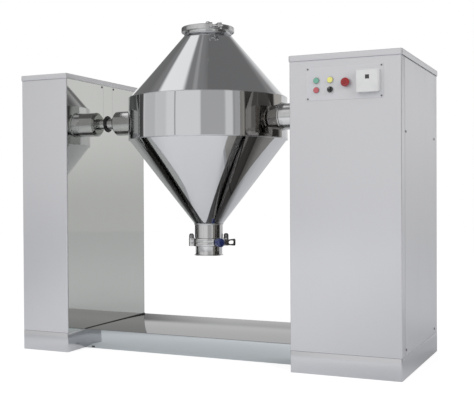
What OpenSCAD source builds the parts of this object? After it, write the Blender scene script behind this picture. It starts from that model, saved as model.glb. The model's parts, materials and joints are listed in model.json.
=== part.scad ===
// Double cone mixer: a double cone vessel that turns end over end between two cabinets.
// The origin is on the floor under the vessel's middle. X runs along the trunnions, the drive
// cabinet is at +X, Z is up and the operator stands at -Y.

/* [Stand] */
// Height of both cabinets with their lids
cabinet_h = 1450; // [1440:2:1600]
// Depth of both cabinets
cabinet_d = 784; // [770:2:860]
// Width of the left cabinet, which holds a bearing
left_w = 283; // [270:1:340]
// Width of the right cabinet, which holds the drive
right_w = 518; // [510:2:600]
// From the vessel's middle to the left cabinet
left_reach = 626; // [606:2:680]
// From the vessel's middle to the right cabinet
right_reach = 606; // [600:2:660]
// Height of the plinths and of the bridge between them
plinth_h = 100; // [80:2:130]
// How far the bridge's front stands behind the cabinets' fronts
bridge_setback = 159; // [100:1:180]
// From the top of the cabinets down to the trunnion axis
axis_drop = 238; // [230:1:260]
// Thickness of the cabinets' sheet
sheet_t = 2; // [1.5:0.5:2.5]
// Outer radius of the cabinets' vertical bends
bend_r = 8; // [6:1:14]
// Depth of the lids' lips
lid_lip = 27; // [20:1:34]
// How far the lids stand proud of the cabinets
lid_overhang = 4; // [3:0.5:8]

/* [Vessel] */
// Outer radius of the band round the vessel's middle
band_r = 422; // [410:1:430]
// Height of the band
band_h = 216; // [190:1:240]
// How far the band stands proud of the cones
band_proud = 5; // [3:0.5:8]
// Wall of the cones
cone_wall = 4; // [3:0.5:6]
// Height of the upper cone
upper_cone_h = 338; // [310:1:350]
// Height of the lower cone
lower_cone_h = 443; // [420:1:455]

/* [Manhole] */
// Outer radius of the manhole's neck
manhole_r = 121.5; // [110:0.5:128]
// Wall of the manhole's neck
manhole_wall = 4; // [3:0.5:6]
// Outer radius of the clamp ring
clamp_r = 140; // [137:0.5:146]
// Height of the clamp ring
clamp_h = 26; // [24:1:34]
// Bare neck that shows below the clamp ring
neck_show = 12; // [6:1:20]

/* [Discharge] */
// Outer radius of the discharge neck
discharge_r = 74; // [70:0.5:77]
// Wall of the discharge neck
discharge_wall = 3; // [2:0.5:4]
// Length of the neck between the cone and the valve
discharge_neck = 74; // [60:1:90]
// Outer radius of the valve's two halves
valve_r = 86; // [84:0.5:92]
// Height of both valve halves together
valve_h = 42; // [36:1:50]
// Length of the outlet below the valve
spool_h = 49; // [40:1:70]
// Outer radius of the lip round the outlet's mouth
lip_r = 76.5; // [75:0.5:82]
// Length of the valve's lever from its stem
lever_len = 95; // [80:1:160]

/* [Trunnions] */
// Radius of the trunnion bosses
boss_r = 67; // [55:1:80]
// Gap between the left boss and the left cabinet
left_boss_gap = 58; // [50:1:100]
// Gap between the right boss and the right cabinet
right_boss_gap = 38; // [30:1:80]
// Radius of the trunnion shafts
shaft_r = 30; // [25:1:34]
// Radius of the bearings' inner rings
race_r = 45; // [42:1:50]

/* [Controls] */
// Width of the control plate
control_w = 356; // [350:1:400]
// Height of the control plate
control_h = 150; // [142:1:160]
// Radius of the push-button collars
collar_r = 15; // [14.5:0.5:18]
// Travel of the push-buttons
button_travel = 3.5; // [2:0.5:4]
// Radius of the stop mushroom
mushroom_r = 20; // [18:0.5:24]
// Travel of the stop mushroom
mushroom_travel = 5; // [3:0.5:6]
// Side of the timer's square face
timer_w = 103; // [98:1:108]
// How far the timer's face stands out of the plate
timer_out = 30; // [8:1:36]

/* [Drive] */
// Chain pitch
chain_pitch = 19.05; // [15.875,19.05]
// Teeth on the shaft's sprocket
shaft_teeth = 57; // [51:3:57]
// Teeth on the gearbox's sprocket
drive_teeth = 19; // [17:1:19]
// Distance between the two sprockets
chain_centres = 640; // [600:5:660]
// Radius of the motor
motor_r = 78; // [70:1:84]
// Length of the motor
motor_l = 285; // [240:5:290]

/* [Hidden] */
$fn = 96;

// Overrun of every cut past the face it opens
cut = 1;
// Running clearance of a shaft or plunger in its bore
run_gap = 0.05;
// Clearance of a screw or bolt in its hole
bolt_gap = 0.5;
// Clearance at rest between pieces that move apart
rest_gap = 0.3;
// Width of the joints between panels
seam = 0.8;
// Facets of a bend's quarter turn
bend_steps = 8;

// Planes of the stand
axis_h = cabinet_h - axis_drop;
front_y = -cabinet_d / 2;
back_y = cabinet_d / 2;
bridge_y = front_y + bridge_setback;
left_in_x = -left_reach;
left_out_x = -left_reach - left_w;
right_in_x = right_reach;
right_out_x = right_reach + right_w;
shell_z0 = plinth_h + seam;
shell_z1 = cabinet_h - sheet_t;
lip_z = cabinet_h - lid_lip;

// Base frame inside the plinths and the bridge
rail_w = 60;
rail_wall = 5;
rail_gap = 3;
rail_h = plinth_h - sheet_t - rail_gap;
rail_inset = 4;
front_rail_y = bridge_y + sheet_t + rail_inset;
back_rail_y = back_y - sheet_t - rail_inset - rail_w;
notch_w = 18;
notch_h = 12;
notch_in = 51;
notch_x = left_in_x + notch_in;

// Cabinet panels
flange_w = 20;
side_margin = 60;
side_gap = 6;
side_screw_inset = 17;
side_screw_drop = 357;
screw_r = 4;
screw_head_r = 6;
screw_head_t = 2.5;
vent_w = 120;
vent_h = 3;
vent_pitch = 16;
vent_rows = 11;
vent_z = 700;
gland_bore_r = 7;
gland_r = 10;
gland_nut_r = 15;
gland_nut_t = 8;
gland_len = 34;
gland_in = 118;
gland_x = right_out_x - gland_in;
gland_z = 160;

// Trunnion opening, its seal and its cover strip
slot_r = 46;
seal_r = slot_r - rest_gap;
seal_out = 4;
seal_in = 14;
cover_back_w = 150;
cover_lap = 10;
cover_back_z = axis_h + slot_r + cover_lap;
cover_screw_y = 58;
cover_screw_drop = 38;
cover_screw_z = cabinet_h - cover_screw_drop;

// Bearings and the columns that carry them
bearing_in = 70;
bearing_h = 70;
bearing_l = 240;
bearing_w = 68;
bearing_foot = 20;
housing_r = 60;
housing_w = 50;
pedestal_share = 0.85;
ring_w = 62;
bearing_bolt_y = 96;
bearing_bolt_r = 8;
nut_r = 14;
nut_t = 12;
plate_t = 20;
column_w = 90;
post_w = 60;
post_y = 42;
post_wall = 6;
column_foot_l = 260;

// Trunnion bosses and shafts
boss_chamfer = 12;
left_boss_end = left_reach - left_boss_gap;
right_boss_end = right_reach - right_boss_gap;
socket_floor_share = 0.315;
left_shaft_in = 130;
right_shaft_in = 200;
left_shaft_end = left_reach + left_shaft_in;
right_shaft_end = right_reach + right_shaft_in;

// Vessel heights, from the trunnion axis
cone_base_r = band_r - band_proud;
band_top = band_h / 2;
cone_top = band_top + upper_cone_h;
cone_bottom = -band_top - lower_cone_h;
belt_inner_r = cone_base_r - cone_wall;

// Manhole, from the trunnion axis
clamp_z = cone_top + neck_show;
clamp_top = clamp_z + clamp_h;
clamp_wall = 7;
clamp_lip_t = 4;
clamp_lip_w = 16;
flange_r = clamp_r - clamp_wall - bolt_gap;
lid_t = 8;
lid_z = clamp_top - clamp_lip_t - rest_gap - lid_t;
gasket_t = 3;
gasket_edge = 2;
neck_flange_t = 8;
knob_r = 11;
knob_neck_r = 7;
knob_h = 40;
knob_head = 16;

// Closure of the clamp ring, in a frame turned to it
closure_az = -51;
closure_gap = 28;
lug_t = 12;
lug_h = 32;
lug_in = 4;
lug_out = 28;
pivot_out = 12;
pivot_r = clamp_r + pivot_out;
pivot_pin_r = 4;
eye_r = 9;
eye_h = 14;
eye_gap = 0.5;
clamp_bolt_r = 5;
wing_r = 11;
wing_t = 12;
wing_span = 17;
wing_w = 5;
pivot_y = -(closure_gap + lug_t) / 2;
seat_r = closure_gap + 3 * lug_t / 2;
bolt_over = 6;

// Discharge valve, from the trunnion axis
valve_top = cone_bottom - discharge_neck;
valve_mid = valve_top - valve_h / 2;
valve_bottom = valve_top - valve_h;
spool_bottom = valve_bottom - spool_h;
outlet_r = discharge_r - discharge_wall;
spool_wall = 2;
spool_step = 0.5;
spool_r = outlet_r - spool_step;
shoulder_t = 4;
lip_t = 5;
valve_seal_w = 7;
valve_seal_r = outlet_r + valve_seal_w;
valve_seal_h = 20;
disc_inset = 1;
disc_r = outlet_r - disc_inset;
disc_t = 6;
disc_gap = 0.4;
disc_hub_r = 11;
stem_az = -32;
stem_r = 8;
stem_short = 5;
stem_back = valve_r - stem_short;
hub_off = 4;
hub_l = 38;
hub_x0 = valve_r + hub_off;
hub_x1 = hub_x0 + hub_l;
hub_r = 23.5;
hub_round = 6;
lever_in = 14;
lever_x0 = hub_x0 + lever_in;
lever_t = 8;
lever_root = 24;
lever_root_share = 1.5;
lever_end = 37;
lever_hole_r = 9;
lever_hole_l = 16;
lever_corner = 8;
valve_lug_az = 30;
valve_lug_r = 92;
valve_lug_w = 28;
valve_bolt_r = 6;
cap_nut_r = 13;
cap_nut_h = 24;
cap_nut_round = 7;
quadrant_r = 34;
quadrant_t = 2.5;
quadrant_w = 20;
quadrant_root_share = 2;

// Control plate, its buttons and its timer
control_in = 82;
control_drop = 210;
control_x = right_in_x + control_in;
control_z = cabinet_h - control_drop;
control_t = 1.5;
control_face = front_y - control_t;
control_screw_inset = 8;
column_in = 131.5;
column_pitch = 65;
stop_pitch = 73;
row_up = 89;
row_pitch = 43;
stop_drop = 15;
timer_in = 373;
timer_up = 75;
column_1 = right_in_x + column_in;
column_2 = column_1 + column_pitch;
column_3 = column_2 + stop_pitch;
row_1 = control_z + row_up;
row_2 = row_1 - row_pitch;
row_stop = row_1 - stop_drop;
timer_x = right_in_x + timer_in;
timer_z = control_z + timer_up;
barrel_r = 11;
hole_gap = 0.3;
collar_t = 6;
collar_floor = 1.5;
cap_r = 13;
cap_out = 4;
cap_t = 5;
button_stem_r = 5;
barrel_len = 28;
contact_w = 28;
contact_l = 40;
contact_bore_r = 6;
knob_base_r = 13;
grip_w = 7;
grip_out = 14;
grip_base_t = 5;
grip_share = 0.9;
mushroom_out = 26;
mushroom_t = 13;
mushroom_stem_r = 9;
mushroom_round = 5;
timer_body_w = 90;
timer_body_l = 62;
timer_round = 6;
window_w = 18;
window_t = 2;
window_up = 16;

// Drive inside the right cabinet
sprocket_t = 11;
sprocket_in = 145;
sprocket_x = right_reach + sprocket_in;
shaft_hub_r = 50;
shaft_hub_l = 44;
drive_hub_r = 30;
drive_hub_l = 16;
tooth_drop = 5;
tooth_rise = 4;
tooth_shares = [-0.32, -0.12, 0.12, 0.32];
shaft_pitch_r = chain_pitch / 2 / sin(180 / shaft_teeth);
drive_pitch_r = chain_pitch / 2 / sin(180 / drive_teeth);
chain_plate_h = 16;
chain_plate_t = 2;
chain_side = 0.5;
chain_pin_r = 4;
chain_arc_steps = 24;
chain_slope = asin((shaft_pitch_r - drive_pitch_r) / chain_centres);
chain_span = chain_centres * cos(chain_slope);
pin_start = 64;
pin_end = 44;
output_z = axis_h - chain_centres;
output_r = 17.5;
gearbox_in = 39;
gearbox_x = sprocket_x + gearbox_in;
gearbox_w = 140;
gearbox_d = 160;
gearbox_foot = 122;
gearbox_foot_t = 14;
gearbox_foot_over = 20;
gearbox_top = 150;
gearbox_boss_r = 45;
gearbox_boss_l = 10;
motor_up = 75;
motor_flange_r = 95;
motor_flange_t = 12;
cowl_l = 60;
cowl_over = 4;
terminal_w = 90;
terminal_h = 30;
shelf_z = output_z - gearbox_foot;
shelf_t = 10;
shelf_lap = 20;
shelf_front = 130;
shelf_x0 = gearbox_x - shelf_lap;
shelf_y0 = -shelf_front;
shelf_leg_w = 40;
shelf_leg_y = 290;
outer_member_in = 40;
outer_member_x = right_out_x - outer_member_in;

// Switchgear on the inside of the drive cabinet's front
gear_plate_in = 184;
gear_plate_x = right_in_x + gear_plate_in;
gear_plate_drop = 520;
gear_plate_z = control_z - gear_plate_drop;
gear_plate_w = 270;
gear_plate_h = 400;
gear_plate_t = 2;
standoff_r = 6;
standoff_l = 8;
standoff_inset = 15;
inverter_size = [110, 95, 160];
contactor_size = [45, 80, 85];
terminal_strip_size = [210, 45, 50];
gear_gap = 20;
contactor_share = 1.1;

function arc(cx, cy, r, a0, a1, n) =
    [for (i = [0:n]) let (a = a0 + (a1 - a0) * i / n) [cx + r * cos(a), cy + r * sin(a)]];

function rounded(x0, y0, x1, y1, r) = concat(
    arc(x1 - r, y1 - r, r, 0, 90, bend_steps),
    arc(x0 + r, y1 - r, r, 90, 180, bend_steps),
    arc(x0 + r, y0 + r, r, 180, 270, bend_steps),
    arc(x1 - r, y0 + r, r, 270, 360, bend_steps)
);

// Root, tip, tip and root of every tooth
function sprocket_outline(teeth, pitch_r) = [
    for (i = [0:teeth - 1])
        for (k = [0:3])
            let (a = (i + tooth_shares[k]) * 360 / teeth,
                 r = k == 0 || k == 3 ? pitch_r - tooth_drop : pitch_r + tooth_rise)
            [r * cos(a), r * sin(a)]
];

// A belt line round the shaft's sprocket at the origin and the gearbox's sprocket below it
function chain_outline(off) = concat(
    arc(0, 0, shaft_pitch_r + off, -chain_slope, 180 + chain_slope, chain_arc_steps),
    arc(0, -chain_centres, drive_pitch_r + off, 180 + chain_slope, 360 - chain_slope, chain_arc_steps)
);

// A box between two corners
module block(x0, y0, z0, x1, y1, z1) {
    translate([x0, y0, z0]) cube([x1 - x0, y1 - y0, z1 - z0]);
}

// A rod along X between two planes
module rod_x(x0, x1, r) {
    translate([x0, 0, 0]) rotate([0, 90, 0]) cylinder(r = r, h = x1 - x0);
}

// A flat outline set upright, so that its width runs along Y and its height along Z
module plate_x(x0, x1) {
    translate([x0, 0, 0]) rotate([90, 0, 90]) linear_extrude(x1 - x0) children();
}

// A rod along Y from a front plane
module rod_y(x, y0, y1, z, r) {
    translate([x, y0, z]) rotate([-90, 0, 0]) cylinder(r = r, h = y1 - y0);
}

// An upright prism with rounded vertical edges
module wrap(x0, y0, x1, y1, r, z0, z1) {
    translate([0, 0, z0]) linear_extrude(z1 - z0) polygon(rounded(x0, y0, x1, y1, r));
}

// A bent skirt of sheet, open at top and bottom
module skirt(x0, x1, z0, z1) {
    difference() {
        wrap(x0, front_y, x1, back_y, bend_r, z0, z1);
        wrap(x0 + sheet_t, front_y + sheet_t, x1 - sheet_t, back_y - sheet_t, bend_r - sheet_t,
             z0 - cut, z1 + cut);
    }
}

// A rectangular tube along X or Y
module box_tube(x0, y0, x1, y1, along_x) {
    difference() {
        block(x0, y0, 0, x1, y1, rail_h);
        if (along_x)
            block(x0 - cut, y0 + rail_wall, rail_wall, x1 + cut, y1 - rail_wall, rail_h - rail_wall);
        else
            block(x0 + rail_wall, y0 - cut, rail_wall, x1 - rail_wall, y1 + cut, rail_h - rail_wall);
    }
}

module base_rails() color("dimgray") {
    for (y = [front_rail_y, back_rail_y])
        box_tube(left_out_x + sheet_t + rail_inset, y, right_out_x - sheet_t - rail_inset, y + rail_w,
                 true);
}

module base_crossmembers() color("dimgray") {
    inner = [left_out_x + rail_w, left_in_x - bearing_in, 0, right_in_x + bearing_in,
             shelf_x0 + rail_w / 2, outer_member_x];
    outer = [left_out_x + rail_w, left_in_x - bearing_in, right_in_x + bearing_in, outer_member_x];
    for (x = inner)
        box_tube(x - rail_w / 2, front_rail_y + rail_w, x + rail_w / 2, back_rail_y, false);
    for (x = outer)
        box_tube(x - rail_w / 2, front_y + sheet_t + rail_inset, x + rail_w / 2, front_rail_y, false);
}

// Clears the base rails where they pass through a plinth's inner face
module rail_passages(reach) {
    for (y = [front_rail_y, back_rail_y])
        block(reach - cut, y - rest_gap, -cut, reach + bend_r + cut, y + rail_w + rest_gap,
              rail_h + rest_gap);
}

module left_plinth() color("silver") difference() {
    skirt(left_out_x, left_in_x, 0, plinth_h);
    mirror([1, 0, 0]) rail_passages(left_reach);
}

module right_plinth() color("silver") difference() {
    skirt(right_in_x, right_out_x, 0, plinth_h);
    rail_passages(right_reach);
}

module bridge_cover() color("gainsboro") difference() {
    block(left_in_x, bridge_y, 0, right_in_x, back_y, plinth_h);
    block(left_in_x - cut, bridge_y + sheet_t, -cut, right_in_x + cut, back_y - sheet_t,
          plinth_h - sheet_t);
    block(notch_x - notch_w / 2, bridge_y - cut, -cut, notch_x + notch_w / 2, bridge_y + sheet_t + cut,
          notch_h);
}

// The lip that the inner panel screws to, at the back end of a cabinet's inner face
module panel_flange(reach) {
    block(reach + sheet_t, back_y - bend_r - flange_w, shell_z0, reach + 2 * sheet_t,
          back_y - bend_r / 2, shell_z1);
}

// Clears the inner face between the two inner bends
module inner_opening(reach) {
    block(reach - cut, front_y + bend_r, shell_z0 - cut, reach + sheet_t, back_y - bend_r, shell_z1 + cut);
}

module left_cabinet() color("lightsteelblue") {
    difference() {
        skirt(left_out_x, left_in_x, shell_z0, shell_z1);
        mirror([1, 0, 0]) inner_opening(left_reach);
    }
    for (s = [0, 1])
        mirror([1, 0, 0]) mirror([0, s, 0]) panel_flange(left_reach);
}

// The drive cabinet's front or back half: a bent sheet that is open along the inner face and the side
module drive_half(s) {
    mirror([0, s < 0 ? 1 : 0, 0]) {
        intersection() {
            skirt(right_in_x, right_out_x, shell_z0, shell_z1);
            block(right_in_x - cut, back_y - side_margin, shell_z0 - cut, right_out_x + cut, back_y + cut,
                  shell_z1 + cut);
        }
        block(right_out_x - 2 * sheet_t, back_y - side_margin - flange_w, shell_z0,
              right_out_x - sheet_t, back_y - side_margin + flange_w, lip_z - side_gap - flange_w - seam);
    }
}

// Clears a half's inner edge up to its bend, and the shadow gap under the lid along its side
module drive_half_clearance() {
    inner_opening(right_reach);
    block(right_out_x - sheet_t, front_y + bend_r, lip_z - side_gap, right_out_x + cut,
          back_y - bend_r, shell_z1 + cut);
}

module right_cabinet() color("lightgray") {
    difference() {
        drive_half(-1);
        drive_half_clearance();
        for (p = [[column_1, row_1], [column_1, row_2], [column_2, row_1], [column_2, row_2],
                  [column_3, row_stop]])
            rod_y(p[0], front_y - cut, front_y + sheet_t + cut, p[1], barrel_r + hole_gap);
        block(timer_x - timer_body_w / 2 - hole_gap, front_y - cut, timer_z - timer_body_w / 2 - hole_gap,
              timer_x + timer_body_w / 2 + hole_gap, front_y + sheet_t + cut,
              timer_z + timer_body_w / 2 + hole_gap);
    }
    mirror([0, 1, 0]) panel_flange(right_reach);
}

module right_back_panel() color("lightgray") {
    difference() {
        drive_half(1);
        drive_half_clearance();
        for (i = [0:vent_rows - 1])
            block((right_in_x + right_out_x - vent_w) / 2, back_y - sheet_t - cut, vent_z + i * vent_pitch,
                  (right_in_x + right_out_x + vent_w) / 2, back_y + cut, vent_z + i * vent_pitch + vent_h);
        rod_y(gland_x, back_y - sheet_t - cut, back_y + cut, gland_z, gland_r + hole_gap);
    }
    panel_flange(right_reach);
}

// The inner face of a cabinet, slotted from the top so that the shaft drops in
module inner_panel(reach) {
    difference() {
        block(reach, front_y + bend_r + seam, shell_z0, reach + sheet_t, back_y - bend_r - seam, shell_z1);
        translate([0, 0, axis_h]) rod_x(reach - cut, reach + sheet_t + cut, slot_r);
        block(reach - cut, -slot_r, axis_h, reach + sheet_t + cut, slot_r, shell_z1 + cut);
        for (y = [-cover_screw_y, cover_screw_y])
            translate([0, y, cover_screw_z]) rod_x(reach - cut, reach + sheet_t + cut, screw_r);
    }
}

module left_inner_panel() color("gray") mirror([1, 0, 0]) inner_panel(left_reach);

module right_inner_panel() color("lightgray") inner_panel(right_reach);

// The outer side panel, with the head behind it that closes the shadow gap under the lid
module right_side_panel() color("lightgray") difference() {
    union() {
        block(right_out_x - sheet_t, front_y + side_margin + seam, shell_z0, right_out_x,
              back_y - side_margin - seam, lip_z - side_gap);
        block(right_out_x - 2 * sheet_t, front_y + bend_r, lip_z - side_gap - flange_w,
              right_out_x - sheet_t, back_y - bend_r, shell_z1);
    }
    side_screws() rod_x(right_out_x - sheet_t - cut, right_out_x + cut, screw_r);
}

// The side panel's four screw places
module side_screws() {
    for (y = [front_y + side_margin + side_screw_inset, back_y - side_margin - side_screw_inset])
        for (z = [plinth_h + side_screw_inset + flange_w / 2, cabinet_h - side_screw_drop])
            translate([0, y, z]) children();
}

// A lid: a shallow pan turned over, whose lip hangs outside the cabinet
module pan(x0, x1) {
    difference() {
        wrap(x0 - lid_overhang, front_y - lid_overhang, x1 + lid_overhang, back_y + lid_overhang,
             bend_r + lid_overhang, lip_z, cabinet_h);
        wrap(x0 - lid_overhang + sheet_t, front_y - lid_overhang + sheet_t, x1 + lid_overhang - sheet_t,
             back_y + lid_overhang - sheet_t, bend_r + lid_overhang - sheet_t,
             lip_z - cut, cabinet_h - sheet_t);
    }
}

module left_lid() color("gainsboro") pan(left_out_x, left_in_x);

module right_lid() color("gainsboro") pan(right_in_x, right_out_x);

// The strip that closes the slot above the shaft, on a wider backing plate
module slot_cover(reach) {
    difference() {
        union() {
            block(reach, -slot_r + seam, axis_h, reach + sheet_t, slot_r - seam, shell_z1);
            block(reach + sheet_t, -cover_back_w / 2, cover_back_z, reach + 2 * sheet_t, cover_back_w / 2,
                  shell_z1);
        }
        translate([0, 0, axis_h]) rod_x(reach - cut, reach + sheet_t + cut, slot_r);
        for (y = [-cover_screw_y, cover_screw_y])
            translate([0, y, cover_screw_z]) rod_x(reach, reach + 2 * sheet_t + cut, screw_r);
    }
}

module slot_covers() color("darkgray") {
    mirror([1, 0, 0]) slot_cover(left_reach);
    slot_cover(right_reach);
}

// A black ring between the shaft and the cabinet's opening
module shaft_seal(reach) {
    translate([0, 0, axis_h]) difference() {
        rod_x(reach - seal_out, reach + seal_in, seal_r);
        rod_x(reach - seal_out - cut, reach + seal_in + cut, shaft_r + run_gap);
    }
}

module shaft_seals() color([0.08, 0.08, 0.08]) {
    mirror([1, 0, 0]) shaft_seal(left_reach);
    shaft_seal(right_reach);
}

// A column of two channel posts between a foot and the plate that the bearing stands on
module column(reach) {
    top = axis_h - bearing_h;
    translate([reach + bearing_in, 0, 0]) difference() {
        union() {
            block(-column_w / 2, -bearing_l / 2, top - plate_t, column_w / 2, bearing_l / 2, top);
            block(-column_w / 2, -column_foot_l / 2, rail_h, column_w / 2, column_foot_l / 2,
                  rail_h + plate_t);
            for (s = [-1, 1])
                translate([0, s * post_y, 0]) difference() {
                    block(-post_w / 2, -post_w / 2, rail_h + plate_t - cut, post_w / 2, post_w / 2,
                          top - plate_t + cut);
                    block(-post_w / 2 + post_wall, -post_w / 2 + post_wall, rail_h + plate_t,
                          post_w / 2 + cut, post_w / 2 - post_wall, top - plate_t);
                }
        }
        for (s = [-1, 1])
            translate([0, s * bearing_bolt_y, top - plate_t - cut])
                cylinder(r = bearing_bolt_r + bolt_gap, h = plate_t + 2 * cut);
    }
}

module left_column() color("slategray") mirror([1, 0, 0]) column(left_reach);

module right_column() color("slategray") column(right_reach);

// A pillow block
module bearing_block(reach) {
    translate([reach + bearing_in, 0, axis_h]) difference() {
        union() {
            block(-bearing_w / 2, -bearing_l / 2, -bearing_h, bearing_w / 2, bearing_l / 2,
                  -bearing_h + bearing_foot);
            rod_x(-housing_w / 2, housing_w / 2, housing_r);
            block(-housing_w / 2, -housing_r * pedestal_share, -bearing_h, housing_w / 2,
                  housing_r * pedestal_share, 0);
        }
        rod_x(-bearing_w / 2 - cut, bearing_w / 2 + cut, race_r + run_gap);
        for (s = [-1, 1])
            translate([0, s * bearing_bolt_y, -bearing_h - cut])
                cylinder(r = bearing_bolt_r + bolt_gap, h = bearing_foot + 2 * cut);
    }
}

module left_bearing_block() color("darkgreen") mirror([1, 0, 0]) bearing_block(left_reach);

module right_bearing_block() color("darkgreen") bearing_block(right_reach);

// Two bolts hold a pillow block to its column
module bearing_bolt_pair(reach) {
    for (s = [-1, 1])
        translate([reach + bearing_in, s * bearing_bolt_y, axis_h - bearing_h]) {
            translate([0, 0, -plate_t - nut_t])
                cylinder(r = bearing_bolt_r, h = plate_t + nut_t + bearing_foot + nut_t);
            translate([0, 0, bearing_foot]) cylinder(r = nut_r, h = nut_t, $fn = 6);
            translate([0, 0, -plate_t - nut_t]) cylinder(r = nut_r, h = nut_t, $fn = 6);
        }
}

module bearing_bolts() color("silver") {
    mirror([1, 0, 0]) bearing_bolt_pair(left_reach);
    bearing_bolt_pair(right_reach);
}

// A low table that carries the gearbox
module drive_shelf() color("slategray") {
    x1 = outer_member_x + rail_w / 2;
    block(shelf_x0, shelf_y0, shelf_z - shelf_t, x1, shelf_leg_y + shelf_leg_w, shelf_z);
    for (x = [shelf_x0, x1 - shelf_leg_w])
        for (y = [shelf_y0, shelf_leg_y - shelf_leg_w])
            block(x, y, rail_h, x + shelf_leg_w, y + shelf_leg_w, shelf_z - shelf_t + cut);
}

module gearbox_housing() color("steelblue") difference() {
    union() {
        block(gearbox_x, -gearbox_d / 2, shelf_z, gearbox_x + gearbox_w, gearbox_d / 2,
              output_z + gearbox_top);
        block(gearbox_x - gearbox_boss_l, -gearbox_d / 2 - gearbox_foot_over, shelf_z,
              gearbox_x + gearbox_w + gearbox_foot_over, gearbox_d / 2, shelf_z + gearbox_foot_t);
        translate([0, 0, output_z]) rod_x(gearbox_x - gearbox_boss_l, gearbox_x + cut, gearbox_boss_r);
    }
    translate([0, 0, output_z])
        rod_x(gearbox_x - gearbox_boss_l - cut, gearbox_x + gearbox_w / 2 + rest_gap, output_r + run_gap);
}

// The motor hangs on the gearbox by its flange
module motor() color("steelblue") {
    x = gearbox_x + gearbox_w / 2;
    z = output_z + motor_up;
    y0 = gearbox_d / 2;
    rod_y(x, y0, y0 + motor_flange_t, z, motor_flange_r);
    rod_y(x, y0 + motor_flange_t - cut, y0 + motor_l - cowl_l, z, motor_r - cowl_over);
    rod_y(x, y0 + motor_l - cowl_l - cut, y0 + motor_l, z, motor_r);
    block(x - terminal_w / 2, y0 + motor_flange_t + terminal_h, z, x + terminal_w / 2,
          y0 + motor_flange_t + terminal_h + terminal_w, z + motor_r + terminal_h);
}

// Two plate loops joined by pins along the free spans
module drive_chain() color("dimgray") translate([sprocket_x, 0, axis_h]) {
    x1 = sprocket_t / 2 + chain_side;
    for (s = [-1, 1])
        plate_x(s > 0 ? x1 : -x1 - chain_plate_t, s > 0 ? x1 + chain_plate_t : -x1)
            difference() {
                polygon(chain_outline(chain_plate_h / 2));
                polygon(chain_outline(-chain_plate_h / 2));
            }
    for (s = [-1, 1])
        for (t = [pin_start:2 * chain_pitch:chain_span - pin_end])
            translate([0, s * (shaft_pitch_r * cos(chain_slope) - t * sin(chain_slope)),
                       -shaft_pitch_r * sin(chain_slope) - t * cos(chain_slope)])
                rod_x(-x1 - chain_plate_t, x1 + chain_plate_t, chain_pin_r);
}

// A plate on four stand-offs with the inverter, two contactors and the terminal strip
module switchgear() color("lightgray") {
    y0 = front_y + sheet_t;
    y1 = y0 + standoff_l + gear_plate_t;
    x1 = gear_plate_x + gear_plate_w;
    z1 = gear_plate_z + gear_plate_h;
    block(gear_plate_x, y0 + standoff_l, gear_plate_z, x1, y1, z1);
    for (x = [gear_plate_x + standoff_inset, x1 - standoff_inset])
        for (z = [gear_plate_z + standoff_inset, z1 - standoff_inset])
            rod_y(x, y0, y0 + standoff_l + cut, z, standoff_r);
    translate([gear_plate_x + gear_gap, y1, z1 - gear_gap - inverter_size[2]]) cube(inverter_size);
    for (i = [0:1])
        translate([gear_plate_x + 2 * gear_gap + inverter_size[0] + i * contactor_size[0] * contactor_share,
                   y1, z1 - gear_gap - contactor_size[2]])
            cube(contactor_size);
    translate([gear_plate_x + gear_gap, y1, gear_plate_z + 2 * gear_gap]) cube(terminal_strip_size);
}

// The inlet of the supply cable, low on the drive cabinet's back
module cable_gland() color([0.15, 0.15, 0.15]) difference() {
    union() {
        rod_y(gland_x, back_y - gland_len / 2, back_y + gland_len / 2, gland_z, gland_r);
        for (y = [back_y, back_y - sheet_t - gland_nut_t])
            translate([gland_x, y, gland_z]) rotate([-90, 0, 0])
                cylinder(r = gland_nut_r, h = gland_nut_t, $fn = 6);
    }
    rod_y(gland_x, back_y - gland_len / 2 - cut, back_y + gland_len / 2 + cut, gland_z, gland_bore_r);
}

// Places of the four small controls and, last, of the stop
module control_places() {
    for (p = [[column_1, row_1], [column_1, row_2], [column_2, row_1], [column_2, row_2],
              [column_3, row_stop]])
        translate([p[0], 0, p[1]]) children();
}

module control_screw_places() {
    for (x = [control_x + control_screw_inset, control_x + control_w - control_screw_inset])
        for (z = [control_z + control_screw_inset, control_z + control_h - control_screw_inset])
            translate([x, 0, z]) children();
}

module control_plate() color("whitesmoke") difference() {
    block(control_x, control_face, control_z, control_x + control_w, front_y, control_z + control_h);
    control_places() rod_y(0, control_face - cut, front_y + cut, 0, barrel_r + hole_gap);
    block(timer_x - timer_body_w / 2 - hole_gap, control_face - cut, timer_z - timer_body_w / 2 - hole_gap,
          timer_x + timer_body_w / 2 + hole_gap, front_y + cut, timer_z + timer_body_w / 2 + hole_gap);
    control_screw_places() rod_y(0, control_face - cut, front_y + cut, 0, screw_r / 2 + hole_gap);
}

// Each collar has a bezel in front of the plate and a barrel through it
module button_collars() color("silver") control_places() difference() {
    union() {
        rod_y(0, control_face - collar_t, control_face, 0, collar_r);
        rod_y(0, control_face - cut, control_face + barrel_len, 0, barrel_r);
    }
    rod_y(0, control_face - collar_t - cut, control_face - collar_floor, 0, cap_r + run_gap);
    rod_y(0, control_face - collar_t, control_face + barrel_len + cut, 0, mushroom_stem_r + run_gap);
}

// The contacts behind each control, with a blind bore for its plunger
module contact_blocks() color([0.9, 0.9, 0.85]) control_places() difference() {
    block(-contact_w / 2, control_face + barrel_len, -contact_w / 2, contact_w / 2,
          control_face + barrel_len + contact_l, contact_w / 2);
    rod_y(0, control_face + barrel_len - cut, control_face + barrel_len + contact_l / 2, 0, contact_bore_r);
}

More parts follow.
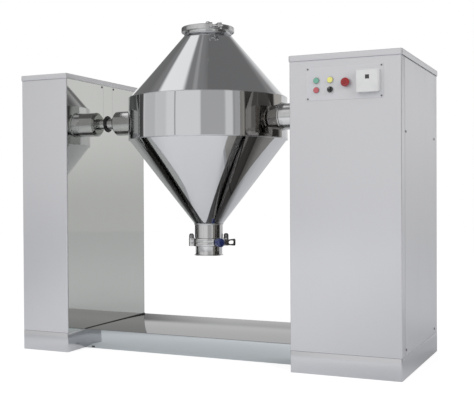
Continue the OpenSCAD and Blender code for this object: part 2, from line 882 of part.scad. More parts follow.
module timer_case() color("white") difference() {
    union() {
        translate([timer_x, control_face, timer_z]) rotate([90, 0, 0]) linear_extrude(timer_out)
            polygon(rounded(-timer_w / 2, -timer_w / 2, timer_w / 2, timer_w / 2, timer_round));
        block(timer_x - timer_body_w / 2, control_face - cut, timer_z - timer_body_w / 2,
              timer_x + timer_body_w / 2, control_face + timer_body_l, timer_z + timer_body_w / 2);
    }
    block(timer_x - window_w / 2, control_face - timer_out - cut, timer_z + window_up - window_w / 2,
          timer_x + window_w / 2, control_face - timer_out + window_t, timer_z + window_up + window_w / 2);
}

module timer_window() color([0.1, 0.1, 0.12])
    block(timer_x - window_w / 2, control_face - timer_out, timer_z + window_up - window_w / 2,
          timer_x + window_w / 2, control_face - timer_out + window_t, timer_z + window_up + window_w / 2);

// One screw with its head outside a face that looks along -X
module head_screw(x, grip) {
    rod_x(x - screw_head_t, x, screw_head_r);
    rod_x(x - cut, x + grip, screw_r - hole_gap);
}

module panel_screws() color("dimgray") {
    for (m = [0, 1])
        mirror([m, 0, 0])
            for (y = [-cover_screw_y, cover_screw_y])
                translate([0, y, cover_screw_z]) head_screw(m > 0 ? left_reach : right_reach, 2 * sheet_t);
    side_screws() mirror([1, 0, 0]) head_screw(-right_out_x, sheet_t);
    control_screw_places() {
        rod_y(0, control_face - screw_head_t, control_face, 0, screw_r);
        rod_y(0, control_face - cut, front_y, 0, screw_r / 2);
    }
}

// A cone's wall between two radii, thickened inwards
module cone_wall_between(r0, z0, r1, z1) {
    t = cone_wall * sqrt(pow(z1 - z0, 2) + pow(r1 - r0, 2)) / abs(z1 - z0);
    rotate_extrude() polygon([[r0, z0], [r1, z1], [r1 - t, z1], [r0 - t, z0]]);
}

module upper_cone() color("silver") translate([0, 0, axis_h])
    cone_wall_between(cone_base_r, band_top, manhole_r, cone_top);

module lower_cone() color("silver") translate([0, 0, axis_h])
    cone_wall_between(cone_base_r, -band_top, discharge_r, cone_bottom);

module vessel_belt() color("gainsboro") translate([0, 0, axis_h - band_top]) difference() {
    cylinder(r = band_r, h = band_h);
    translate([0, 0, -cut]) cylinder(r = belt_inner_r, h = band_h + 2 * cut);
}

// The floor of the socket that a boss has for its shaft
function socket_x(end) = band_r + (end - band_r) * socket_floor_share;

// A round boss, saddled on the band, bored for its shaft
module trunnion(end) {
    translate([0, 0, axis_h]) difference() {
        rotate([0, 90, 0]) rotate_extrude()
            polygon([[0, 0], [boss_r, 0], [boss_r, end - boss_chamfer],
                     [boss_r - boss_chamfer, end], [0, end]]);
        translate([0, 0, -boss_r - cut]) cylinder(r = band_r + run_gap, h = 2 * (boss_r + cut));
        rod_x(socket_x(end), end + cut, shaft_r + run_gap);
    }
}

module left_trunnion() color("silver") mirror([1, 0, 0]) trunnion(left_boss_end);

module right_trunnion() color("silver") trunnion(right_boss_end);

module left_shaft() color("lightgray") translate([0, 0, axis_h]) mirror([1, 0, 0])
    rod_x(socket_x(left_boss_end), left_shaft_end, shaft_r);

module right_shaft() color("lightgray") translate([0, 0, axis_h])
    rod_x(socket_x(right_boss_end), right_shaft_end, shaft_r);

// The bearings' inner rings, which turn with the shafts
module bearing_rings() color("gainsboro") translate([0, 0, axis_h])
    for (x = [-left_reach - bearing_in, right_reach + bearing_in])
        difference() {
            rod_x(x - ring_w / 2, x + ring_w / 2, race_r);
            rod_x(x - ring_w / 2 - cut, x + ring_w / 2 + cut, shaft_r + run_gap);
        }

module shaft_sprocket() color("slategray") translate([sprocket_x, 0, axis_h]) difference() {
    union() {
        plate_x(-sprocket_t / 2, sprocket_t / 2) polygon(sprocket_outline(shaft_teeth, shaft_pitch_r));
        rod_x(-sprocket_t / 2, shaft_hub_l, shaft_hub_r);
    }
    rod_x(-sprocket_t / 2 - cut, shaft_hub_l + cut, shaft_r + run_gap);
}

module manhole_neck() color("silver") translate([0, 0, axis_h]) rotate_extrude()
    polygon([[manhole_r - manhole_wall, cone_top], [manhole_r, cone_top],
             [manhole_r, lid_z - gasket_t - neck_flange_t], [flange_r, lid_z - gasket_t - neck_flange_t],
             [flange_r, lid_z - gasket_t], [manhole_r - manhole_wall, lid_z - gasket_t]]);

module manhole_gasket() color("whitesmoke") translate([0, 0, axis_h]) rotate_extrude()
    polygon([[manhole_r - manhole_wall, lid_z - gasket_t], [flange_r - gasket_edge, lid_z - gasket_t],
             [flange_r - gasket_edge, lid_z], [manhole_r - manhole_wall, lid_z]]);

// The lid with its lifting knob
module manhole_lid() color("silver") translate([0, 0, axis_h]) {
    top = lid_z + lid_t + knob_h;
    rotate_extrude() polygon([[0, lid_z], [flange_r, lid_z], [flange_r, lid_z + lid_t],
                              [knob_neck_r, lid_z + lid_t], [knob_neck_r, top - knob_head],
                              [knob_r, top - 3 * knob_head / 4], [knob_r, top - knob_head / 4],
                              [knob_neck_r, top], [0, top]]);
}

// Everything at the clamp's closure is drawn with +X pointing out of it
module at_closure() {
    translate([0, 0, axis_h + clamp_z + clamp_h / 2]) rotate([0, 0, closure_az]) children();
}

// The split clamp ring with its two lugs and the pin that the bolt swings on
module lid_clamp() color("silver") {
    difference() {
        translate([0, 0, axis_h]) rotate_extrude()
            polygon([[clamp_r - clamp_wall, clamp_z], [clamp_r, clamp_z], [clamp_r, clamp_top],
                     [clamp_r - clamp_lip_w, clamp_top], [clamp_r - clamp_lip_w, clamp_top - clamp_lip_t],
                     [clamp_r - clamp_wall, clamp_top - clamp_lip_t]]);
        at_closure() block(0, -closure_gap / 2, -clamp_h, 2 * clamp_r, closure_gap / 2, clamp_h);
    }
    at_closure() {
        // the left lug is a fork round the bolt's eye
        difference() {
            block(clamp_r - lug_in, pivot_y - lug_t / 2, -lug_h / 2, clamp_r + lug_out, pivot_y + lug_t / 2,
                  lug_h / 2);
            block(pivot_r - eye_r - eye_gap, pivot_y - lug_t, -eye_h / 2 - eye_gap, clamp_r + lug_out + cut,
                  pivot_y + lug_t, eye_h / 2 + eye_gap);
        }
        translate([pivot_r, pivot_y, -lug_h / 2 + cut]) cylinder(r = pivot_pin_r, h = lug_h - 2 * cut);
        // the right lug is open outwards, and the nut's seat is round about the pin
        difference() {
            intersection() {
                block(clamp_r - lug_in, closure_gap / 2, -lug_h / 2, clamp_r + lug_out,
                      closure_gap / 2 + lug_t, lug_h / 2);
                translate([pivot_r, pivot_y, -lug_h]) cylinder(r = seat_r - rest_gap, h = 2 * lug_h);
            }
            block(pivot_r - clamp_bolt_r - eye_gap, 0, -clamp_bolt_r - eye_gap, clamp_r + lug_out + cut,
                  closure_gap + lug_t, clamp_bolt_r + eye_gap);
        }
    }
}

// The swing bolt with its eye and its wing nut
module clamp_bolt() color("silver") at_closure() translate([pivot_r, pivot_y, 0]) {
    difference() {
        union() {
            translate([0, 0, -eye_h / 2]) cylinder(r = eye_r, h = eye_h);
            rod_along_y(0, seat_r + wing_t + bolt_over, clamp_bolt_r);
        }
        translate([0, 0, -eye_h]) cylinder(r = pivot_pin_r + run_gap, h = 2 * eye_h);
    }
    rod_along_y(seat_r, seat_r + wing_t, wing_r);
    block(-wing_w / 2, seat_r + wing_t / 4, -wing_span, wing_w / 2, seat_r + wing_t, wing_span);
}

module rod_along_y(y0, y1, r) rod_y(0, y0, y1, 0, r);

// Everything on the valve's stem is drawn with +X along it
module at_stem() {
    translate([0, 0, axis_h + valve_mid]) rotate([0, 0, stem_az]) children();
}

// Two ears for the valve's swing bolts
module valve_lugs(z0, z1) {
    for (a = [valve_lug_az, valve_lug_az + 180])
        rotate([0, 0, a])
            block(outlet_r + discharge_wall, -valve_lug_w / 2, z0, valve_lug_r + cap_nut_r,
                  valve_lug_w / 2, z1);
}

// One half of the valve's body between two heights
module valve_half(z0, z1) {
    difference() {
        union() {
            translate([0, 0, z0]) cylinder(r = valve_r, h = z1 - z0);
            valve_lugs(z0, z1);
        }
        translate([0, 0, z0 - cut]) cylinder(r = outlet_r, h = z1 - z0 + 2 * cut);
        translate([0, 0, valve_mid - valve_seal_h / 2]) cylinder(r = valve_seal_r, h = valve_seal_h);
        for (a = [valve_lug_az, valve_lug_az + 180])
            rotate([0, 0, a]) translate([valve_lug_r, 0, z0 - cut])
                cylinder(r = valve_bolt_r + bolt_gap, h = z1 - z0 + 2 * cut);
        translate([0, 0, valve_mid]) rotate([0, 0, stem_az])
            rod_x(-stem_back - cut, valve_r + cut, stem_r + run_gap);
    }
}

// The neck, the upper half of the valve and the notched quadrant for its lever
module valve_upper_half() color("silver") {
    translate([0, 0, axis_h]) {
        valve_half(valve_mid, valve_top);
        difference() {
            translate([0, 0, valve_top]) cylinder(r = discharge_r, h = discharge_neck);
            translate([0, 0, valve_top - cut]) cylinder(r = outlet_r, h = discharge_neck + 2 * cut);
        }
    }
    at_stem() plate_x(valve_r - quadrant_t, valve_r)
        polygon([[-quadrant_w / 2, stem_r * quadrant_root_share],
                 [quadrant_w / 2, stem_r * quadrant_root_share],
                 [quadrant_w, quadrant_r], [-quadrant_w, quadrant_r]]);
}

module valve_seal() color("white") difference() {
    translate([0, 0, axis_h + valve_mid - valve_seal_h / 2 + run_gap]) difference() {
        cylinder(r = valve_seal_r - run_gap, h = valve_seal_h - 2 * run_gap);
        translate([0, 0, -cut]) cylinder(r = disc_r + disc_gap, h = valve_seal_h + 2 * cut);
    }
    at_stem() rod_x(-valve_r, valve_r, stem_r + run_gap);
}

// The lower half of the valve, the outlet and its lip
module valve_lower_half() color("silver") translate([0, 0, axis_h]) {
    valve_half(valve_bottom, valve_mid);
    difference() {
        union() {
            translate([0, 0, spool_bottom]) cylinder(r = spool_r, h = spool_h);
            translate([0, 0, spool_bottom]) cylinder(r = lip_r, h = lip_t);
            translate([0, 0, valve_bottom]) cylinder(r = valve_r - cut, h = shoulder_t);
        }
        translate([0, 0, spool_bottom - cut])
            cylinder(r = spool_r - spool_wall, h = spool_h + shoulder_t + 2 * cut);
    }
}

// Two bolts with tall domed hand nuts
module valve_bolts() color("dimgray") translate([0, 0, axis_h])
    for (a = [valve_lug_az, valve_lug_az + 180])
        rotate([0, 0, a]) translate([valve_lug_r, 0, 0]) rotate_extrude()
            polygon(concat([[0, valve_bottom - cap_nut_round], [cap_nut_r, valve_bottom - cap_nut_round],
                            [cap_nut_r, valve_bottom], [valve_bolt_r, valve_bottom],
                            [valve_bolt_r, valve_top], [cap_nut_r, valve_top]],
                           arc(cap_nut_r - cap_nut_round, valve_top + cap_nut_h - cap_nut_round,
                               cap_nut_round, 0, 90, bend_steps),
                           [[0, valve_top + cap_nut_h]]));

// The disc and its stem turn together
module valve_disc() color("silver") at_stem() {
    difference() {
        translate([0, 0, -disc_t / 2]) cylinder(r = disc_r, h = disc_t);
        block(disc_r, -disc_r, -disc_t, 2 * disc_r, disc_r, disc_t);
    }
    rod_x(-outlet_r / 2, outlet_r / 2, disc_hub_r);
    rod_x(-stem_back, hub_x1 - hub_round, stem_r);
}

// The blue hub that is pressed on the stem
module handle_hub() color("royalblue") at_stem() difference() {
    rotate([0, 90, 0]) rotate_extrude()
        polygon(concat([[0, hub_x0], [hub_r, hub_x0]],
                       arc(hub_r - hub_round, hub_x1 - hub_round, hub_round, 0, 90, bend_steps),
                       [[0, hub_x1]]));
    rod_x(hub_x0 - cut, hub_x1 - hub_round + run_gap, stem_r + run_gap);
    block(lever_x0, 0, -lever_root / 2 - run_gap, lever_x0 + lever_t + run_gap, hub_r + cut,
          lever_root / 2 + run_gap);
}

// A flat lever with an oblong finger hole near its end
module handle_lever() color("silver") at_stem() plate_x(lever_x0 + run_gap, lever_x0 + lever_t) {
    root = stem_r * lever_root_share;
    tip = lever_len - lever_corner;
    half = lever_end / 2 - lever_corner;
    difference() {
        polygon(concat([[root, -lever_root / 2], [hub_r, -lever_root / 2]],
                       arc(tip, -half, lever_corner, 270, 360, bend_steps),
                       arc(tip, half, lever_corner, 0, 90, bend_steps),
                       [[hub_r, lever_root / 2], [root, lever_root / 2]]));
        polygon(concat(arc(tip - lever_hole_r, 0, lever_hole_r, -90, 90, 2 * bend_steps),
                       arc(tip - lever_hole_r - lever_hole_l, 0, lever_hole_r, 90, 270, 2 * bend_steps)));
    }
}

module gearbox_shaft() color("lightgray") translate([0, 0, output_z])
    rod_x(sprocket_x - sprocket_t / 2 - drive_hub_l / 2, gearbox_x + gearbox_w / 2, output_r);

// Turned so that its teeth stand in step with the chain
module drive_sprocket() color("slategray") translate([sprocket_x, 0, output_z]) difference() {
    union() {
        plate_x(-sprocket_t / 2, sprocket_t / 2) polygon(sprocket_outline(drive_teeth, drive_pitch_r));
        rod_x(-sprocket_t / 2, sprocket_t / 2 + drive_hub_l, drive_hub_r);
    }
    rod_x(-sprocket_t / 2 - cut, sprocket_t / 2 + drive_hub_l + cut, output_r + run_gap);
}

// A cap in its collar, with a plunger that reaches into the contacts
module button(x, z) {
    seat = control_face - collar_floor - button_travel - rest_gap;
    rod_y(x, control_face - collar_t - cap_out, seat, z, cap_r);
    rod_y(x, seat - cut, seat + barrel_len, z, mushroom_stem_r);
    rod_y(x, seat + barrel_len - cut, control_face + barrel_len + contact_l / 4, z, button_stem_r);
}

module green_button() color("mediumseagreen") button(column_1, row_1);

module red_button() color("indianred") button(column_1, row_2);

module yellow_button() color("khaki") button(column_2, row_1);

// A round knob with a raised grip
module selector_knob() color([0.1, 0.1, 0.1]) {
    y0 = control_face - collar_t - rest_gap;
    rod_y(column_2, y0 - grip_base_t, y0, row_2, knob_base_r);
    block(column_2 - grip_w / 2, y0 - grip_out, row_2 - knob_base_r * grip_share,
          column_2 + grip_w / 2, y0 - grip_base_t + cut, row_2 + knob_base_r * grip_share);
    rod_y(column_2, y0 - cut, control_face + barrel_len - rest_gap, row_2, mushroom_stem_r);
}

// The mushroom's crown is drawn in at its rim
module stop_mushroom() color("firebrick") {
    y0 = control_face - mushroom_out;
    translate([column_3, y0, row_stop]) rotate([-90, 0, 0]) rotate_extrude()
        polygon(concat([[0, 0]],
                       arc(mushroom_r - mushroom_round, mushroom_round, mushroom_round, -90, 0, bend_steps),
                       [[mushroom_r, mushroom_t], [mushroom_stem_r, mushroom_t],
                        [mushroom_stem_r, mushroom_out + barrel_len - mushroom_travel - rest_gap],
                        [0, mushroom_out + barrel_len - mushroom_travel - rest_gap]]));
}

base_rails();
base_crossmembers();
left_plinth();
right_plinth();
bridge_cover();
left_cabinet();
left_inner_panel();
left_lid();
right_cabinet();
right_back_panel();
right_inner_panel();
right_side_panel();
right_lid();
slot_covers();
shaft_seals();
left_column();
right_column();
left_bearing_block();
right_bearing_block();
bearing_bolts();
drive_shelf();
gearbox_housing();
motor();
drive_chain();
switchgear();
cable_gland();
control_plate();
button_collars();
contact_blocks();
timer_case();
timer_window();
panel_screws();
upper_cone();
vessel_belt();
lower_cone();
left_trunnion();
right_trunnion();
left_shaft();
right_shaft();
bearing_rings();
shaft_sprocket();
manhole_neck();
manhole_gasket();
manhole_lid();
lid_clamp();
clamp_bolt();
valve_upper_half();
valve_seal();
valve_lower_half();
valve_bolts();
valve_disc();
handle_hub();
handle_lever();
gearbox_shaft();
drive_sprocket();
green_button();
red_button();
yellow_button();
selector_knob();
stop_mushroom();
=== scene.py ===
"""Looks of the double cone mixer: smooth sheet metal and turned pieces, their finishes and the studio.

Sizes are in metres. The origin is on the floor under the vessel, X runs along the trunnions to the
drive cabinet and the operator stands at -Y.
"""

import json
import math

import bmesh
import bpy
import numpy as np
from bpy.props import FloatProperty, FloatVectorProperty, IntProperty, PointerProperty
from mathutils import Matrix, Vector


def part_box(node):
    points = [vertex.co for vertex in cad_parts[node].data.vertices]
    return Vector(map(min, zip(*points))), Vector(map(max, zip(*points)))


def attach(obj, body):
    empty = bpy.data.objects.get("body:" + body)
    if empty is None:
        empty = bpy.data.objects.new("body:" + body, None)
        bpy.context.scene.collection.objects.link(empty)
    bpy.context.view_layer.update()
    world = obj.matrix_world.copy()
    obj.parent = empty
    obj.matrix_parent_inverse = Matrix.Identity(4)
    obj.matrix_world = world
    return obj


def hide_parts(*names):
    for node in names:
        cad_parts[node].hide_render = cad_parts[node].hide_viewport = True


bl_info = {
    "name": "Double Cone Mixer",
    "version": (1, 0, 0),
    "blender": (4, 5, 0),
    "location": "View3D > Sidebar > Mixer",
    "description": "Builds the visible pieces of a double cone mixer and its studio",
    "category": "Add Mesh",
}

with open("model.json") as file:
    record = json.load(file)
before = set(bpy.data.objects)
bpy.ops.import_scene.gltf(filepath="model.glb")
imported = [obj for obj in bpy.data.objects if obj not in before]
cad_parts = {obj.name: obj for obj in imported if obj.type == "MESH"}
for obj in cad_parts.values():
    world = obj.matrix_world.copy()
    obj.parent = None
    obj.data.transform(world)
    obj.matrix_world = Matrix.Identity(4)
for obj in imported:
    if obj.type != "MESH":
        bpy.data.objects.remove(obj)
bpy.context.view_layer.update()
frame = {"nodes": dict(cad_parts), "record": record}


# ---------------------------------------------------------------- sizes and colours


def length(name, description, default):
    """A size in metres."""
    return FloatProperty(name=name, description=description, default=default, min=0.0,
                         precision=4, unit="LENGTH", subtype="DISTANCE")


def colour(name, description, default):
    """A base colour."""
    return FloatVectorProperty(name=name, description=description, default=default, size=3,
                               min=0.0, max=1.0, subtype="COLOR")


def top_of(node):
    """The height of a CAD node's top."""
    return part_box(node)[1].z


class MixerSizes(bpy.types.PropertyGroup):
    """Sizes of the visible pieces. Places come from the frame's own boxes."""

    sheet: length("Sheet", "Thickness of the cabinets' sheet", 0.002)
    bend: length("Bend", "Depth of the short returns beside the inner panels", 0.008)
    corner: length("Corner", "Outer radius of the upright corners", 0.005)
    fold: length("Fold", "Outer radius of the folds along the lids and the bridge", 0.0035)
    soft_edge: length("Soft edge", "Radius on cut sheet edges", 0.0005)
    notch_width: length("Notch width", "Width of the drain notch in the bridge", 0.018)
    notch_height: length("Notch height", "Height of the drain notch in the bridge", 0.012)
    notch_inset: length("Notch inset", "From the left cabinet to the notch's middle", 0.051)
    joint: length("Joint", "Height of the sealant along the bridge's ends", 0.0055)
    side_return: length("Side return", "Depth of the drive cabinet's side returns", 0.0575)
    axis_height: length("Axis height", "Height of the trunnion axis", 1.212)
    cone_wall: length("Cone wall", "Wall of the cones", 0.004)
    band_proud: length("Band proud", "How far the band stands proud of the cones", 0.005)
    band_edge: length("Band edge", "Radius on the band's edges", 0.0022)
    weld: length("Weld", "Radius of the weld beads on the vessel", 0.0032)
    boss_radius: length("Boss radius", "Radius of the trunnion bosses", 0.067)
    boss_chamfer: length("Boss chamfer", "Chamfer at the bosses' ends", 0.012)
    shaft_radius: length("Shaft radius", "Radius of the trunnion shafts", 0.03)
    neck_radius: length("Manhole neck radius", "Outer radius of the manhole's neck", 0.1215)
    clamp_radius: length("Clamp radius", "Outer radius of the clamp ring", 0.14)
    clamp_height: length("Clamp height", "Height of the clamp ring", 0.026)
    outlet_radius: length("Outlet radius", "Outer radius of the discharge neck", 0.074)
    valve_radius: length("Valve radius", "Outer radius of the valve's halves", 0.086)
    collar_radius: length("Collar radius", "Radius of the push-button collars", 0.015)
    cap_radius: length("Cap radius", "Radius of the push-button caps", 0.013)
    mushroom_radius: length("Mushroom radius", "Radius of the stop mushroom", 0.02)
    round_steps: IntProperty(name="Round steps", default=160, min=24, max=360,
                             description="Steps round a large turned piece")


class MixerColours(bpy.types.PropertyGroup):
    """Base colours of the finishes."""

    satin: colour("Satin steel", "Cabinet sheet", (0.64, 0.64, 0.66))
    mirror: colour("Mirror steel", "Polished inner faces", (0.60, 0.61, 0.585))
    bridge: colour("Bridge steel", "Bridge between the plinths", (0.515, 0.545, 0.56))
    # painted shade: a darker colour that the bridge's top takes above the cover's top
    bridge_top_shade: colour("Bridge top shade", "Top of the bridge", (0.415, 0.415, 0.423))
    # painted shade: a darker, brownish colour for the drive cabinet's inner face
    drive_inner_shade: colour("Drive inner face shade", "Inner face of the drive cabinet", (0.42, 0.40, 0.37))
    vessel: colour("Vessel steel", "Polished cones and band", (0.655, 0.66, 0.675))
    turned: colour("Turned steel", "Bosses, shafts and fittings", (0.62, 0.62, 0.62))
    paint: colour("Frame paint", "Painted frame and columns", (0.10, 0.11, 0.12))
    drive: colour("Drive paint", "Gearbox and motor", (0.05, 0.12, 0.22))
    rubber: colour("Rubber", "Shaft seals and gland", (0.012, 0.012, 0.013))
    silicone: colour("Silicone", "Manhole gasket and valve seal", (0.78, 0.78, 0.75))
    blue: colour("Blue plastic", "Hub of the valve's handle", (0.022, 0.038, 0.15))
    green: colour("Green plastic", "Start button", (0.17, 0.42, 0.32))
    red: colour("Red plastic", "Stop button", (0.48, 0.10, 0.12))
    yellow: colour("Yellow plastic", "Jog button", (0.80, 0.76, 0.22))
    stop: colour("Stop plastic", "Stop mushroom", (0.32, 0.012, 0.016))
    black: colour("Black plastic", "Selector knob", (0.015, 0.015, 0.016))
    timer: colour("Timer plastic", "Timer's face", (0.68, 0.68, 0.68))


# ---------------------------------------------------------------- surfaces


TINY = 1e-9


def bent_line(corners, radius, closed, steps=6):
    """A flat line that turns each corner on an arc: every straight run stops radius * tan(turn / 2)
    short of its corner, and the arc sweeps the turn evenly. Returns points and right-hand normals."""
    c = np.array(corners, float)
    count = len(c)
    radii = np.broadcast_to(np.array(radius, float), (count,))
    points, normals = [], []

    def run(a, b):
        u = (b - a) / max(np.linalg.norm(b - a), TINY)
        return u, np.array([u[1], -u[0]])

    if not closed:
        points.append(c[:1])
        normals.append(run(c[0], c[1])[1][None])
    for i in range(count) if closed else range(1, count - 1):
        u, n = run(c[i - 1], c[i])
        w, _ = run(c[i], c[(i + 1) % count])
        turn = math.atan2(u[0] * w[1] - u[1] * w[0], float(u @ w))
        side, r = math.copysign(1.0, turn), radii[i]
        start = c[i] - u * r * math.tan(abs(turn) / 2)
        a = np.linspace(0.0, turn, steps + 1 if r > 0 else 2)
        ring = np.stack([n[0] * np.cos(a) - n[1] * np.sin(a), n[0] * np.sin(a) + n[1] * np.cos(a)], 1)
        points.append(start - side * r * n + side * r * ring)
        normals.append(ring)
    if not closed:
        points.append(c[-1:])
        normals.append(run(c[-2], c[-1])[1][None])
    return np.concatenate(points), np.concatenate(normals)


def outline(corners, radii, closed=False, steps=5):
    """The points alone of a bent line."""
    return bent_line(corners, radii, closed, steps)[0]


def rectangle(x0, y0, x1, y1):
    """Its four corners, anticlockwise."""
    return [(x0, y0), (x1, y0), (x1, y1), (x0, y1)]


def angles(count):
    """Evenly spaced angles, once round."""
    return np.linspace(0, 2 * math.pi, count, endpoint=False)


def carried(profile, path, axes="xyz", closed_path=True, closed_profile=False):
    """A profile carried along a flat path: point(u, v) = path(u) + offset(v) * normal(u), raised by
    height(v). axes names the axes of the path's two directions and of the height."""
    points, normals = path
    p = np.asarray(profile, float)
    a, b, c = ("xyz".index(k) for k in axes)
    grid = np.empty((len(points), len(p), 3))
    grid[..., a] = points[:, None, 0] + normals[:, None, 0] * p[None, :, 0]
    grid[..., b] = points[:, None, 1] + normals[:, None, 1] * p[None, :, 0]
    grid[..., c] = p[None, :, 1]
    return grid, closed_path, closed_profile, True


def slab(path, low, high, edge, axes="xyz", steps=3):
    """A plate with rounded edges: the path's outline, drawn in by edge * (1 - sin a) at the heights
    low + edge * (1 - cos a) and high - edge * (1 - cos a), with a flat cap at both ends."""
    a = np.linspace(0, math.pi / 2, steps + 1)
    lower = np.stack([-edge * (1 - np.sin(a)), low + edge * (1 - np.cos(a))], 1)
    upper = np.stack([-edge * (1 - np.sin(a)), high - edge * (1 - np.cos(a))], 1)[::-1]
    return carried(np.concatenate([lower, upper]), path, axes)


def pulled(loop, low, high, axes):
    """A closed loop pulled straight along an axis: point(u, v) = loop(v) + u * axis, from low to high.
    axes names the loop's two axes, then the one that it is pulled along."""
    a, b, c = ("xyz".index(k) for k in axes)
    grid = np.empty((2, len(loop), 3))
    grid[..., a], grid[..., b] = loop[:, 0], loop[:, 1]
    grid[0, :, c], grid[1, :, c] = low, high
    return grid, False, True, True


def basis(axis):
    """Three unit vectors: the axis, last, and two across it, the first of them level."""
    w = np.array(axis, float)
    w /= np.linalg.norm(w)
    u = np.cross((0, 0, 1), w)
    if np.linalg.norm(u) < TINY:
        u = np.cross((0, 1, 0), w)
    u /= np.linalg.norm(u)
    return u, np.cross(w, u), w


def turned(profile, origin, axis, steps=64, start=0.0, sweep=2 * math.pi, closed_profile=False):
    """A turned surface: point(t, v) = origin + radius(v) * (cos t * across + sin t * along) +
    height(v) * axis."""
    u, v, w = basis(axis)
    whole = abs(sweep - 2 * math.pi) < TINY
    t = start + np.linspace(0, sweep, steps + (not whole), endpoint=not whole)
    p = np.asarray(profile, float)
    ring = np.cos(t)[:, None] * u + np.sin(t)[:, None] * v
    grid = np.array(origin) + ring[:, None, :] * p[None, :, :1] + w * p[None, :, 1:2]
    return grid, whole, closed_profile, True


def quads(i):
    """The quads between neighbours of a grid of point numbers."""
    return np.stack([i[:-1, :-1], i[1:, :-1], i[1:, 1:], i[:-1, 1:]], -1).reshape(-1, 4)


# points closer than this become one, and edges that turn more than this stay sharp
MERGED = 2e-6
SHARP = math.radians(32.0)


def solid(name, *parts, body, slot, replaces=(), look=None):
    """One mesh from grids of points: each grid gives a quad between neighbours, closed round where it
    wraps, and a flat face over each open end. Doubles are merged, and faces turned outwards. look
    names a finish other than the slot's own."""
    points, faces, base = [], [], 0
    for grid, wrap_u, wrap_v, capped in parts:
        nu, nv = grid.shape[:2]
        i = np.arange(nu * nv).reshape(nu, nv) + base
        j = np.concatenate([i, i[:1]], 0) if wrap_u else i
        j = np.concatenate([j, j[:, :1]], 1) if wrap_v else j
        faces.extend(quads(j).tolist())
        if capped and wrap_u and not wrap_v:
            faces.extend([i[::-1, 0].tolist(), i[:, -1].tolist()])
        if capped and wrap_v and not wrap_u:
            faces.extend([i[0].tolist(), i[-1, ::-1].tolist()])
        points.append(grid.reshape(-1, 3))
        base += nu * nv
    mesh = bpy.data.meshes.new(name)
    mesh.from_pydata(np.concatenate(points), [], faces)
    work = bmesh.new()
    work.from_mesh(mesh)
    bmesh.ops.remove_doubles(work, verts=work.verts, dist=MERGED)
    bmesh.ops.dissolve_degenerate(work, edges=work.edges, dist=MERGED)
    bmesh.ops.recalc_face_normals(work, faces=work.faces)
    work.to_mesh(mesh)
    work.free()
    mesh.shade_smooth()
    mesh.set_sharp_from_angle(angle=SHARP)
    piece = bpy.data.objects.new(name, mesh)
    bpy.context.scene.collection.objects.link(piece)
    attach(piece, body)
    if replaces:
        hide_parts(*replaces)
    mesh.materials.append(finish(look or slot))


# ---------------------------------------------------------------- finishes


class Wire:
    """A shader socket that takes part in sums, so that a formula reads as one."""

    def __init__(self, tree, socket):
        self.tree, self.socket = tree, socket

    def _math(self, kind, *values):
        return self.tree.add("ShaderNodeMath", {"operation": kind}, dict(enumerate(values)))

    def __add__(self, other):
        return self._math("ADD", self, other)

    def __sub__(self, other):
        return self._math("SUBTRACT", self, other)

    def __rsub__(self, other):
        return self._math("SUBTRACT", other, self)

    def __mul__(self, other):
        return self._math("MULTIPLY", self, other)

    def __neg__(self):
        return self._math("MULTIPLY", self, -1.0)

    __radd__ = __add__
    __rmul__ = __mul__

    def rise(self, low, high):
        """0 below low, 1 above high, smooth between."""
        return self.tree.add("ShaderNodeMapRange", {"interpolation_type": "SMOOTHSTEP"},
                             {0: self, 1: low, 2: high})


class Tree:
    """A material's node tree. add() puts in any node, with its settings and inputs."""

    def __init__(self, owner):
        owner.use_nodes = True
        self.nodes, self.links = owner.node_tree.nodes, owner.node_tree.links
        self.nodes.clear()

    def add(self, kind, settings=None, inputs=None, out=0):
        node = self.nodes.new(kind)
        for key, value in (settings or {}).items():
            setattr(node, key, value)
        for key, value in (inputs or {}).items():
            if isinstance(value, Wire):
                self.links.new(value.socket, node.inputs[key])
            else:
                node.inputs[key].default_value = value
        return Wire(self, node.outputs[out]) if len(node.outputs) else node

    def place(self, scale=(1, 1, 1)):
        """Object coordinates, stretched along each axis."""
        at = self.add("ShaderNodeTexCoord", out="Object")
        return self.add("ShaderNodeMapping", inputs={"Vector": at, "Scale": scale})

    def noise(self, scale, detail=2.0, rough=0.5, stretch=(1, 1, 1)):
        """Clouds of a scale, in features per metre, drawn out along an axis by a small stretch."""
        return self.add("ShaderNodeTexNoise",
                        inputs={"Vector": self.place(stretch), "Scale": scale, "Detail": detail,
                                "Roughness": rough})

    def cells(self, scale):
        """The distance to the nearest of many scattered points."""
        return self.add("ShaderNodeTexVoronoi", inputs={"Vector": self.place(), "Scale": scale})

    def mix(self, factor, first, second):
        """A colour between two others."""
        return self.add("ShaderNodeMix", {"data_type": "RGBA"},
                        {0: factor, 6: rgba(first), 7: rgba(second)}, out=2)

    def bump(self, height, distance, under=None):
        """A normal tilted by a height times a distance, over another normal if one is given."""
        inputs = {"Strength": 1.0, "Distance": distance, "Height": height}
        if under is not None:
            inputs["Normal"] = under
        return self.add("ShaderNodeBump", inputs=inputs)

    def surface(self, **inputs):
        shader = self.add("ShaderNodeBsdfPrincipled",
                          inputs={k.replace("_", " "): v for k, v in inputs.items()})
        self.add("ShaderNodeOutputMaterial", inputs={"Surface": shader})


def rgba(value):
    """A colour with its alpha, or a link as it is."""
    return value if isinstance(value, Wire) else (*tuple(value)[:3], 1.0)


def shade(value, by):
    """A colour made lighter or darker."""
    return tuple(min(1.0, c * by) for c in value)


# scales of the steel's patterns, in features per metre: clouds, smears of handling, brushed lines,
# fine grain, specks, and the patches that the specks keep to
CLOUDS, SMEARS, BRUSHED, GRAIN, SPECKS, PATCHES = 2.2, 7.0, 260.0, 900.0, 420.0, 60.0


